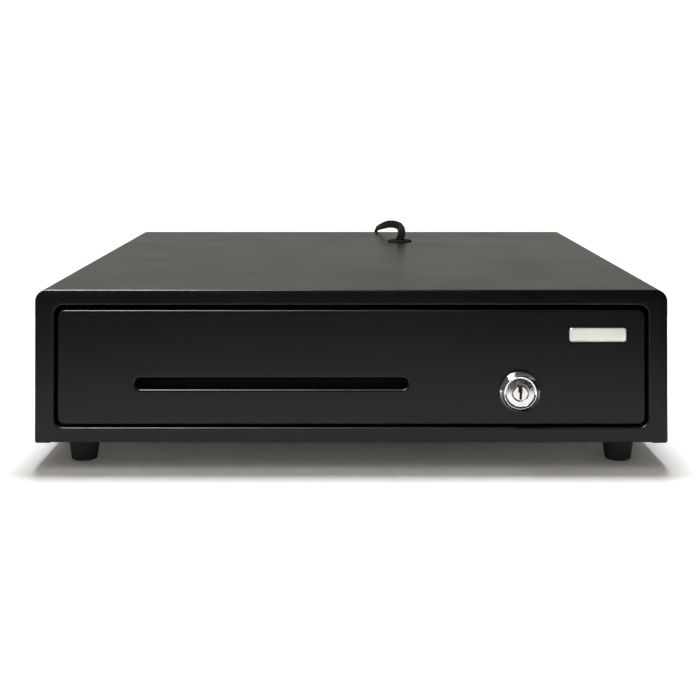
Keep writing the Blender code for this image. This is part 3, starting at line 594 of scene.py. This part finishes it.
def make_plug(looks):
    """A six-way modular plug that lies on its side, with its contacts and its tab."""
    ways, pitch, slot_half, contact_half = 6, 0.00102, 0.00026, 0.00018
    centre = at(COIL_X, COIL_DEPTH, 0)
    left, right, middle = centre.x - 0.0095, centre.x + 0.0108, centre.y - 0.014
    near, far = middle - 0.0026, middle + 0.0032
    low, high = 0.0002, 0.00965
    outline = [(left, near + 0.0008), (left + 0.002, near), (right, near), (right, far - 0.0015),
               (right - 0.001, far - 0.0005), (right - 0.0075, far), (left + 0.002, far),
               (left, far - 0.0008)]
    body = place("plug_body", prism(outline, "Z", low, high), looks["clear"], "housing",
                 "clear_plug", ["cord_plug"])
    slots = []
    contacts = []
    for i in range(ways):
        z = low + high / 2 + (i - (ways - 1) / 2) * pitch
        slots.append(box((right - 0.0075, far - 0.0012, z - slot_half),
                         (right + 0.001, far + 0.001, z + slot_half)))
        contacts.append(box((right - 0.0070, far - 0.0040, z - contact_half),
                            (right - 0.0008, far - 0.0007, z + contact_half)))
    cut(body, joined(slots))
    soften(body, 0.00015, 1)
    outline = [(left + 0.004, near - 0.0010), (left + 0.0050, near - 0.0016),
               (right - 0.0075, near - 0.0012), (right - 0.0035, near - 0.0007),
               (right - 0.0010, near + 0.0001), (right - 0.0010, near + 0.0006),
               (right - 0.0040, near + 0.0001), (right - 0.0075, near - 0.0006)]
    tab = place("plug_tab", prism(outline, "Z", 0.0034, 0.0064), looks["clear"], "housing",
                "clear_plug")
    pins = place("plug_contacts", joined(contacts), looks["gold"], "housing")
    return [body, tab, pins]


# Case

def frame_outline(inset, depth):
    """An outline of the frame; the crown of its edge runs out towards the bottom."""
    least_corner, low_corner, low_inset, low_zone = 0.002, 0.001, 0.4, 0.003
    radius = max(CASE_CORNER - inset, least_corner)
    points = rounded(-HALF + inset, HALF - inset, FRAME_BOTTOM + low_inset * inset, HEIGHT - inset,
                     radius, low_corner)
    low_depth = max(depth - CROWN, 0) if depth <= CROWN + EDGE else depth
    return [at(x, low_depth if z < FRAME_BOTTOM + low_zone else depth, z) for x, z in points]


def opening_outline(growth, depth):
    """An outline of the drawer's opening, wider by the growth all round."""
    points = rounded(-OPENING_HALF - growth, OPENING_HALF + growth, OPENING_LOW - growth,
                     OPENING_HIGH + growth, OPENING_CORNER + growth, OPENING_CORNER + growth)
    return upright(points, depth)


def make_front_frame(looks):
    """The frame: a lap in the cover, a rolled edge, a crowned face and a rolled opening."""
    lap, lip, shoulder, back = SHEET + GAP, 0.001, 0.0022, 0.0115
    outlines = [frame_outline(lap, back), frame_outline(lap, shoulder),
                frame_outline(lap - SHEET, shoulder)]
    outlines += [frame_outline(EDGE * inward, CROWN + EDGE * forward)
                 for inward, forward in quarter(8, 0, 80)]
    outlines += [frame_outline(EDGE + (FRAME_ROUND - EDGE) * share, CROWN * (1 - share))
                 for share in (0.15, 0.5, 0.85)]
    outlines += [frame_outline(FRAME_ROUND + 0.0001, 0), opening_outline(lip + 0.0003, 0)]
    outlines += [opening_outline(lip * inward, lip * back_in) for back_in, inward in quarter(5)]
    outlines += [opening_outline(0, back), opening_outline(SHEET, back),
                 opening_outline(SHEET, SHEET + lip), frame_outline(lap + SHEET, SHEET + lip),
                 frame_outline(lap + SHEET, back)]
    place("front_frame_shell", skin(outlines, ring=True, angle=50), looks["powder"], "housing",
          "powder_coat", ["front_frame"])


def make_cover(looks):
    """The wrap-over cover with its inward bottom flanges and the cable's hole."""
    flange_width, bend = 0.0096, 0.0008
    inner, flange = HALF - SHEET, HALF - flange_width
    turn_x, turn_z = HALF - CASE_CORNER, HEIGHT - CASE_CORNER
    outer = [(flange, CASE_BOTTOM)] + arc((HALF - bend, CASE_BOTTOM + bend), bend, 270, 360, 5)
    outer += arc((turn_x, turn_z), CASE_CORNER, 0, 90, 18)
    under = [(flange, CASE_BOTTOM + SHEET), (inner, CASE_BOTTOM + SHEET)]
    under += arc((turn_x, turn_z), CASE_CORNER - SHEET, 0, 90, 18)
    profile = outer + [(-x, z) for x, z in reversed(outer)] + [(-x, z) for x, z in under]
    profile += list(reversed(under))
    start, end = 0.0023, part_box("top_cover")[1].y - FRONT_Y
    cover = place("cover_shell", skin([upright(profile, start), upright(profile, end)]),
                  looks["powder"], "housing", "powder_coat", ["top_cover"])
    hole = turned([(HOLE_RADIUS, -0.006), (HOLE_RADIUS, 0.003)], "Z",
                  at(HOLE_X, HOLE_DEPTH, HEIGHT))
    cut(cover, hole)
    soften(cover, 0.0003, 2, 50)


def make_grommet(looks):
    """The grommet: a neck through the hole, a flange below and a round one above."""
    flange, neck, bore = 0.01075, HOLE_RADIUS - GAP, 0.0065
    flange_thick, outer_round, bore_round = 0.0012, 0.0011, 0.0009
    under, over = HEIGHT - SHEET - GAP, HEIGHT + GAP
    profile = [(bore, under - 0.0010), (bore + 0.0003, under - flange_thick),
               (flange, under - flange_thick), (flange, under), (neck, under), (neck, over),
               (flange - 0.0001, over)]
    profile += arc((flange - 0.0012, over + 0.0002), outer_round, 0, 90, 8)
    profile += arc((bore + bore_round, over + 0.0004), bore_round, 90, 180, 6)
    place("grommet_ring", turned(profile, "Z", at(HOLE_X, HOLE_DEPTH, 0), 72, ring=True, angle=50),
          looks["cable"], "housing", "rubber", ["cable_grommet"])


def make_feet(looks):
    """Tapered rubber feet, each with its screw in the recess below."""
    recess, recess_top, sole, sole_round = 0.0045, 0.0070, 0.0073, 0.0012
    top, top_radius = 0.0166, 0.01075
    profile = [(recess, recess_top), (recess, 0.0006), (recess + 0.0005, 0.0001), (sole, 0.0)]
    profile += arc((sole, sole_round), sole_round, -75, 0, 6)
    profile += [(top_radius - 0.00005, top - 0.0012), (top_radius, top - 0.0008), (top_radius, top)]
    head = [(0.0002, 0.0044), (0.0012, 0.0042), (0.0028, 0.0045), (0.0038, 0.0053),
            (0.0038, 0.0067)]
    for row in ("front", "rear"):
        for side in ("left", "right"):
            centre = middle_of(f"foot_{row}_{side}")
            centre.z = 0
            place(f"rubber_foot_{row}_{side}", turned(profile, "Z", centre, 64), looks["rubber"],
                  "housing", "rubber", [f"foot_{row}_{side}"])
            screw = place(f"foot_screw_head_{row}_{side}", turned(head, "Z", centre, 32),
                          looks["zinc"], "housing", "zinc_steel", [f"foot_screw_{row}_{side}"])
            cut(screw, cross(centre + Vector((0, 0, 0.0050)), "Z", 0.0021, 0.0005, 0.0012))


def cross(centre, axis, reach, half, deep):
    """The recess of a cross-head screw: its arms reach out from the centre, twice half wide."""
    across, up, along = AXES[axis]
    arms = []
    for a, b in ((reach, half), (half, reach)):
        corners = [(-a, -b), (a, -b), (a, b), (-a, b)]
        mesh = skin([[centre + across * p + up * q + along * end for p, q in corners]
                     for end in (-deep, deep)])
        arms.append(linked("arm", mesh))
    change = arms[0].modifiers.new("both", "BOOLEAN")
    change.operation = "UNION"
    change.object = arms[1]
    settle(arms[0])
    mesh = arms[0].data
    for arm in arms:
        bpy.data.objects.remove(arm)
    return mesh


def make_back(looks):
    """The back panel and its screws."""
    softened("back_panel", looks["powder"], "powder_coat", 0.0006, 3)
    profile = [(0.0036, 0.0), (0.0036, 0.0004), (0.0034, 0.0008), (0.0029, 0.0011),
               (0.0020, 0.0013), (0.0006, 0.0014)]
    for row in ("low", "high"):
        for side in ("left", "right"):
            centre = middle_of(f"back_screw_{row}_{side}")
            centre.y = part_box(f"back_screw_{row}_{side}")[0].y
            screw = place(f"back_screw_head_{row}_{side}", turned(profile, "Y", centre, 32),
                          looks["zinc"], "housing", "zinc_steel", [f"back_screw_{row}_{side}"])
            cut(screw, cross(centre + Vector((0, 0.0015, 0)), "Y", 0.0018, 0.00045, 0.0009))


def make_front_rivets(looks):
    """Rivet heads under the front edge of the case."""
    profile = [(0.0032, 0.0), (0.0031, -0.0005), (0.0024, -0.0009), (0.0010, -0.0011)]
    for side, x in (("left", -RIVET_X), ("right", RIVET_X)):
        centre = at(x, RIVET_DEPTH, FRAME_BOTTOM + 0.0006)
        place(f"frame_rivet_{side}", turned(profile, "Z", centre, 32), looks["powder"], "housing",
              "powder_coat")


# Drawer

def slot_outline(growth, depth):
    """An outline of the media slot, wider by the growth all round."""
    radius = (SLOT_HIGH - SLOT_LOW) / 2 - 1e-5 + growth
    points = rounded(SLOT_LEFT - growth, SLOT_RIGHT + growth, SLOT_LOW - growth,
                     SLOT_HIGH + growth, radius, radius, 10)
    return upright(points, depth)


def make_drawer_front(looks):
    """The drawer front: a folded panel with rolled edges, the media slot and the lock's hole."""
    low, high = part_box("drawer_front")
    half, bottom, top = high.x, low.z, high.z
    face, back = low.y - FRONT_Y, high.y - FRONT_Y
    edge, least_corner = 0.0011, 0.0006

    def outline(inset, depth):
        corner = max(FACE_CORNER - inset, least_corner)
        return upright(rounded(-half + inset, half - inset, bottom + inset, top - inset,
                               corner, corner), depth)

    outlines = [outline(SHEET, face + SHEET), outline(SHEET, back), outline(0, back)]
    outlines += [outline(edge * inward, face + edge * forward) for inward, forward in quarter(7)]
    panel = place("drawer_front_panel", skin(outlines, angle=50), looks["powder"], "drawer",
                  "powder_coat", ["drawer_front"])

    rows = [slot_outline(SLOT_LIP, face - 0.002)]
    rows += [slot_outline(SLOT_LIP * inward, face + SLOT_LIP_DEPTH * deeper)
             for deeper, inward in quarter(6)]
    rows.append(slot_outline(0, face + 0.004))
    hole = turned([(0.0096, -0.003), (0.0096, 0.005)], "Y", at(LOCK_X, 0, LOCK_Z), 48)
    cut(panel, joined([skin(rows), hole]))
    panel.data.set_sharp_from_angle(angle=math.radians(50))
    even_shading(panel)
    make_slot_lining(looks, face)


def make_slot_lining(looks, face):
    """The turned-in edge of the media slot, drawn back behind the face."""
    rows = [slot_outline(growth, face + depth)
            for growth, depth in ((0.00002, 0.0010), (0.00002, 0.0052), (0.0009, 0.0052),
                                  (0.0009, 0.0016))]
    place("slot_lining", skin(rows, ring=True), looks["powder"], "drawer", "powder_coat")


def make_badge(looks):
    """A plain plate in a raised rim."""
    low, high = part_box("badge_plate")
    corner, least_corner, rim_width, rise = 0.0016, 0.0005, 0.0008, 0.0002

    def outline(inset, depth):
        radius = max(corner - inset, least_corner)
        return upright(rounded(low.x + inset + 0.0001, high.x - inset - 0.0006,
                               low.z + inset + 0.0003, high.z - inset - 0.0003,
                               radius, radius, 8), depth)

    back, front = high.y - FRONT_Y, low.y - FRONT_Y
    rows = [outline(0, back), outline(0, front + rise), outline(rise, front),
            outline(rim_width - 0.0001, front), outline(rim_width, front + rise),
            outline(rim_width, back - 0.0001), outline(rim_width / 2, back)]
    place("badge_rim", skin(rows, ring=True), looks["badge_rim"], "drawer", "silver_badge")
    edge = rim_width + 0.00002
    rows = [outline(edge, back), outline(edge, front + 0.0003), outline(0.0010, front + 0.0001),
            outline(0.0014, front + 0.00005)]
    place("badge_face", skin(rows), looks["badge"], "drawer", "silver_badge", ["badge_plate"])


def make_lock(looks):
    """The key lock: a bezel with a cone and a ring, a satin dish, and the barrel that turns."""
    centre = at(LOCK_X, 0, LOCK_Z)
    bezel, back, bore = 0.0132, 0.0206, 0.0095
    profile = [(bore, -0.0040), (bore, -0.0060)]
    profile += arc((0.0102, -0.0059), 0.0004, -120, 0, 8)
    profile += [(0.0108, -0.0054), (0.0128, -0.0038), (0.0131, -0.0034), (bezel, -0.0028),
                (bezel, -0.0003), (bezel - 0.0001, 0.0), (0.00925, 0.0), (0.00925, back),
                (0.0053, back), (0.0053, -0.0036), (0.0091, -0.0038)]
    place("lock_bezel", turned(profile, "Y", centre, 96, ring=True, angle=40), looks["chrome"],
          "drawer", "chrome", ["lock_housing"])
    profile = [(0.0054, -0.0040), (0.0054, -0.0063), (0.0057, -0.0065), (0.0061, -0.0064),
               (0.0089, -0.0055), (0.0092, -0.0054), (0.00935, -0.0052), (0.00935, -0.0040)]
    place("lock_dish", turned(profile, "Y", centre, 96, ring=True, angle=40), looks["satin"],
          "drawer", "chrome")
    make_barrel(looks, centre)
    make_index_mark(looks, centre)
    softened("lock_nut", looks["zinc"], "zinc_steel")
    softened("lock_cam", looks["zinc"], "zinc_steel")
    softened("cam_screw", looks["zinc"], "zinc_steel")


def make_barrel(looks, centre):
    """The barrel with its stepped keyway, and wafers at the keyway's end in the black powder
    finish, as painted shade inside the keyway.
    """
    profile = [(0.0040, -0.0064), (0.0047, -0.0062), (0.0050, -0.0058), (0.0050, 0.0208),
               (0.0030, 0.0208), (0.0030, 0.0240)]
    barrel = place("lock_barrel", turned(profile, "Y", centre, 64), looks["nickel"], "lock_core",
                   "brass", ["lock_plug"])
    keyway = [(-0.0014, 0.0042), (-0.0014, 0.0006), (-0.0007, 0.0001), (-0.0007, -0.0042),
              (0.0009, -0.0042), (0.0009, -0.0010), (0.0012, -0.0006), (0.0012, 0.0042)]
    opening = [(LOCK_X + a, LOCK_Z + b) for a, b in keyway]
    cut(barrel, skin([upright(opening, depth) for depth in (-0.0075, -0.0010)]))
    inner = [(LOCK_X + 0.94 * a, LOCK_Z + 0.97 * b) for a, b in keyway]
    # The wafers take the near-black powder finish instead of bare metal: painted shade for the dark
    # depth of the keyway
    place("lock_wafers_painted_shade", skin([upright(inner, depth) for depth in (-0.0042, -0.0012)]),
          looks["powder"], "lock_core")
    soften(barrel, 0.00012, 2)


def make_index_mark(looks, centre):
    """A short dark line on the dish."""
    turn, start, end, half = math.radians(62), 0.0064, 0.0083, 0.00028
    spoke = Vector((math.cos(turn), 0, math.sin(turn)))
    side = Vector((-spoke.z, 0, spoke.x))
    corners = [spoke * r + side * s
               for r, s in ((start, -half), (end, -half), (end, half), (start, half))]
    place("lock_mark", skin([[centre + corner + Vector((0, depth, 0)) for corner in corners]
                             for depth in (-0.0060, -0.0052)]), looks["powder"], "drawer")


# Till

def bay_edges(count, low, high, wall):
    """Left and right edges of equal bays between walls."""
    width = (high - low - wall * (count + 1)) / count
    return [(low + wall + i * (width + wall), low + (i + 1) * (width + wall))
            for i in range(count)]


def rim(top):
    """Rows of a rounded top rim, from the wall outwards and up."""
    return [(RIM * inward, top - RIM * below) for inward, below in quarter(5)]


def moulded(half, near, far, rows, corner):
    """A moulding built up from level outlines; each row is (inset, height)."""
    return skin([level(rounded(-half + inset, half - inset, near + inset, far - inset,
                               corner - inset, corner - inset, 6), z) for inset, z in rows])


def pocket(left, right, near, far, floor, top, corner=0.004, fillet=0.003):
    """A cutter for a moulded pocket: filleted floor, rounded corners and a flared rim."""
    rows = [(fillet * inward, floor + fillet * rise) for rise, inward in quarter(6)]
    rows += [(-out, z) for out, z in rim(top)] + [(-RIM, top + 0.003)]
    return skin([level(rounded(left + inset, right - inset, near + inset, far - inset,
                               corner - inset, corner - inset, 6), z) for inset, z in rows])


def scoop(left, right, near, far, floor, top):
    """A cutter for a coin cup with a round bottom and a flared rim."""
    radius, middle, narrowing, corner = (far - near) / 2, (near + far) / 2, 0.007, 0.0035
    rows = [(narrowing * inward, radius * (1 - inward), floor + radius * rise)
            for rise, inward in quarter(10, 8, 88)]
    rows += [(-out, radius + out, z) for out, z in rim(top)]
    rows.append((-RIM, radius + RIM, top + 0.003))
    return skin([level(rounded(left + inset, right - inset, middle - reach, middle + reach,
                               corner, corner, 5), z) for inset, reach, z in rows])


def moulding(name, node_name, corner, looks):
    """A till moulding's outer shape, with a round foot and rim, in place of its CAD node."""
    low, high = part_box(node_name)
    rows = [(0.0008, low.z), (0.0002, low.z + 0.0003), (0.0, low.z + 0.0009), *rim(high.z)]
    shape = moulded(high.x, low.y - FRONT_Y, high.y - FRONT_Y, rows, corner)
    return place(name, shape, looks["till"], "drawer", "till_plastic", [node_name])


def note_bays():
    """Left and right edges of the note bays."""
    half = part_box("till_insert")[1].x
    return bay_edges(NOTE_BAYS, -half, half, TILL_WALL)


def make_till(looks):
    """The till insert: note bays behind the well for the coin tray, hollow under the well."""
    low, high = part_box("till_insert")
    half, near, far = high.x, low.y - FRONT_Y, high.y - FRONT_Y
    insert = moulding("till_insert_detail", "till_insert", 0.004, looks)
    cuts = [pocket(left, right, NOTE_START, far - TILL_WALL, NOTE_FLOOR, high.z)
            for left, right in note_bays()]
    cuts.append(pocket(-half + TILL_WALL, half - TILL_WALL, COIN_START, COIN_END, COIN_FLOOR,
                       high.z, 0.003, 0.0004))
    cut(insert, joined(cuts))
    skirt = TILL_WALL + 0.002
    cut(insert, box(at(-half + skirt, near - 0.002, low.z - 0.002),
                    at(half - skirt, COIN_END - 0.0005, COIN_FLOOR - TILL_WALL)))
    cut(insert, turned([(0.0023, -0.19), (0.0023, 0.19)], "X", at(0, ROD_DEPTH, ROD_Z), 24))
    insert.data.set_sharp_from_angle(angle=math.radians(40))


def make_coin_tray(looks):
    """The lift-out tray: two rows of four scooped coin cups."""
    low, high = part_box("coin_tray")
    tray = moulding("coin_tray_detail", "coin_tray", 0.003, looks)
    cuts = [scoop(left, right, front, back, low.z + TILL_WALL, high.z)
            for front, back in bay_edges(COIN_ROWS, low.y - FRONT_Y, high.y - FRONT_Y, TILL_WALL)
            for left, right in bay_edges(COIN_COLUMNS, -high.x, high.x, TILL_WALL)]
    cut(tray, joined(cuts))
    tray.data.set_sharp_from_angle(angle=math.radians(40))


def make_note_clips(looks):
    """The note clips, each with a foam pad under its end and two springs on the rod."""
    rod = at(0, ROD_DEPTH, ROD_Z)
    drop, pad_half, spring_at, spring_length = math.radians(28), 0.011, 0.0165, 0.0044
    pad = []
    for along, off in ((0.0370, -0.0013), (0.0370, -0.0024), (0.0376, -0.0027),
                       (0.0448, -0.0027), (0.0454, -0.0024), (0.0454, -0.0013)):
        pad.append((rod.y - along * math.cos(drop) - off * math.sin(drop),
                    rod.z - along * math.sin(drop) + off * math.cos(drop)))
    for n, (left, right) in enumerate(note_bays(), start=1):
        middle = (left + right) / 2
        softened(f"note_clip_{n}", looks["till"], "till_plastic")
        place(f"note_clip_pad_{n}", prism(pad, "X", middle - pad_half, middle + pad_half),
              looks["foam"], f"clip_{n}")
        for side, sign in (("left", -1), ("right", 1)):
            start = rod + Vector((middle + sign * spring_at - spring_length / 2, 0, 0))
            wire = helix(start, "X", 0.0032, spring_length, turns=4, per_turn=24)
            place(f"clip_spring_{n}_{side}", swept(wire, circle(0.0004, 8)), looks["rolled"],
                  "drawer", "zinc_steel")


# Slides and mechanism

def make_cages(looks):
    """The slides' ball cages: a thin channel on each side with its balls in two rows."""
    strip, radius, spacing, margin = 0.0008, 0.0012, 0.009, 0.006
    ball = [(max(r, 0.00008), z) for z, r in arc((0, 0), radius, 180, 0, 9)]
    for side, sign in (("left", -1), ("right", 1)):
        low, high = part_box(f"ball_cage_{side}")
        outer, tip = max(abs(low.x), abs(high.x)), min(abs(low.x), abs(high.x))
        rows = (low.z + 0.0010, high.z - 0.0010)
        under, over = rows[0] - strip / 2, rows[1] + strip / 2
        section = [(outer, under), (outer, over), (tip, over), (tip, over - strip),
                   (outer - strip, over - strip), (outer - strip, under + strip),
                   (tip, under + strip), (tip, under)]
        start, end = low.y - FRONT_Y, high.y - FRONT_Y
        shape = skin([upright([(sign * x, z) for x, z in section], depth)
                      for depth in (start, end)])
        cage = place(f"ball_cage_{side}_detail", shape, looks["rolled"], f"slide_cage_{side}",
                     "zinc_steel", [f"ball_cage_{side}"])
        soften(cage, 0.00015)
        count = int((end - start - 2 * margin) / spacing) + 1
        balls = [turned(ball, "Z", at(sign * (tip + 0.0019), start + margin + i * spacing, z), 14)
                 for z in rows for i in range(count)]
        place(f"cage_balls_{side}", joined(balls, 60), looks["chrome"], f"slide_cage_{side}",
              "chrome")


def make_inside(looks):
    """The tub, the rails, the keeper, the latch, the switch and the ejector."""
    zinc, rolled = (looks["zinc"], "zinc_steel"), (looks["rolled"], "zinc_steel")
    thin = 0.0002
    softened("drawer_tub", looks["inner_powder"], "powder_coat")
    softened("clip_rod", *rolled)
    softened("striker", *zinc)
    for side in ("left", "right"):
        softened(f"inner_rail_{side}", *rolled, thin)
        softened(f"outer_rail_{side}", *rolled, thin)
    for name in ("base_pan", "lock_keeper", "latch_bracket"):
        softened(name, *zinc)
    softened("latch_pin", *rolled, thin)
    softened("latch_lever", *zinc)
    softened("solenoid_yoke", *zinc)
    softened("solenoid_coil", looks["tape"], "coil_tape", thin)
    softened("solenoid_plunger", *rolled, thin)
    softened("open_switch", looks["switch"], "switch_plastic", 0.0004)
    softened("switch_lever", *rolled, 0.0)
    softened("ejector_pin", *rolled, thin)


def make_springs(looks):
    """The latch's torsion spring round its pin, and the ejector's long spring."""
    coil = helix(at(-0.040, 0.374, 0.0585), "Z", radius=0.0040, length=0.0034, turns=3, per_turn=28)
    place("latch_spring_wire", swept(coil, circle(0.0004)), looks["rolled"], "housing",
          "zinc_steel", ["latch_spring"])
    coil = helix(at(0.060, 0.3632, 0.060), "Y", radius=0.0046, length=0.046, turns=7, per_turn=28)
    place("ejector_spring_wire", swept(coil, circle(0.0006)), looks["rolled"], "housing",
          "zinc_steel", ["ejector_spring"])


def make_inner_lead(looks):
    """The lead from the solenoid to the grommet."""
    route = [(HOLE_X, HOLE_DEPTH, 0.1112), (HOLE_X, 0.3205, 0.1085), (0.041, 0.328, 0.1055),
             (0.032, 0.345, 0.1045), (0.018, 0.368, 0.1030), (0.004, 0.388, 0.0940),
             (-0.003, 0.397, 0.0800), (-0.006, 0.3995, 0.0680), (-0.0085, 0.3995, 0.0610),
             (-0.0139, 0.3995, 0.0577)]
    aside = Vector((1, 0.2, 0))
    knots = [(at(*point), aside) for point in route]
    place("inner_lead", swept(smooth_route(knots, 0.002), circle(0.0015, 14)), looks["cable"],
          "housing", "cable", ["solenoid_lead"])


# Stage

FLOOR_RADIUS = 0.56

# Strengths of the world: to the camera, in reflections from the front and from behind, and
# for soft light
BACKDROP, WORLD_FRONT, WORLD_BACK, SKY = 1.2, 0.02, 0.46, 0.34


def make_floor():
    """A round white floor."""
    look = bpy.data.materials.new("floor_look")
    look.use_nodes = True
    shader = look.node_tree.nodes["Principled BSDF"]
    for key, value in (("Base Color", (0.86, 0.86, 0.86, 1)), ("Roughness", 0.75),
                       ("Specular IOR Level", 0.2)):
        shader.inputs[key].default_value = value
    shape = bmesh.new()
    bmesh.ops.create_circle(shape, cap_ends=True, segments=128, radius=FLOOR_RADIUS)
    mesh = bpy.data.meshes.new("floor")
    shape.to_mesh(mesh)
    shape.free()
    mesh.materials.append(look)
    linked("floor", mesh)


def make_world():
    """White to the camera, even for soft light; reflections are brighter behind than in front."""
    world = bpy.data.worlds.new("studio")
    bpy.context.scene.world = world
    world.use_nodes = True
    tree = world.node_tree
    split = node(tree, "ShaderNodeSeparateXYZ")
    direction = node(tree, "ShaderNodeTexCoord").outputs["Generated"]
    tree.links.new(direction, split.inputs[0])
    reflected = mapped(tree, split.outputs["Y"], (-0.35, 0.75), (WORLD_FRONT, WORLD_BACK),
                       interpolation_type="SMOOTHSTEP")
    rays = node(tree, "ShaderNodeLightPath")
    strength = mixed(tree, rays.outputs["Is Camera Ray"], reflected, BACKDROP)
    strength = mixed(tree, rays.outputs["Is Diffuse Ray"], strength, SKY)
    back = tree.nodes["Background"]
    tree.links.new(strength, back.inputs["Strength"])
    back.inputs["Color"].default_value = (1, 0.95, 0.89, 1)


def make_lights():
    """A key above, a low warm fill, and a softbox and a card that only show in reflections."""
    key = add_light("key", (0.0, 0.30, 1.8), (0.0, 0.0, 0.05), 0.86, 0.50, 60)
    key.visible_glossy = False
    fill = add_light("fill", (0.0, -1.30, 0.26), (0.0, -0.2, 0.0), 1.20, 0.16, 1.7)
    fill.data.color = (1, 0.90, 0.72)
    fill.visible_glossy = False
    softbox = add_light("softbox", (-0.45, -0.45, 1.15), (0.0, -0.2, 0.06), 0.80, 0.38, 70)
    softbox.visible_diffuse = False
    card = add_light("card", (-1.20, -0.80, 0.20), (0.1, -0.2, 0.05), 0.45, 0.45, 0.5)
    card.visible_diffuse = False


def add_light(name, place, aim, width, height, power):
    """A rectangular light at a place, aimed at a point, which the camera doesn't see."""
    data = bpy.data.lights.new(name, "AREA")
    data.shape = "RECTANGLE"
    data.size, data.size_y = width, height
    data.energy = power
    light = linked(name, data)
    light.location = place
    light.rotation_mode = "QUATERNION"
    light.rotation_quaternion = (Vector(aim) - Vector(place)).to_track_quat("-Z", "Y")
    light.visible_camera = False
    return light


def main():
    """Builds the scene, the camera and the cable first."""
    bpy.context.scene.view_settings.view_transform = "Standard"
    make_camera()
    looks = make_looks()
    make_cable(looks)
    make_floor()
    make_world()
    make_lights()
    make_front_frame(looks)
    make_cover(looks)
    make_grommet(looks)
    make_feet(looks)
    make_back(looks)
    make_front_rivets(looks)
    make_drawer_front(looks)
    make_badge(looks)
    make_lock(looks)
    make_till(looks)
    make_coin_tray(looks)
    make_note_clips(looks)
    make_cages(looks)
    make_inside(looks)
    make_springs(looks)
    make_inner_lead(looks)


main()
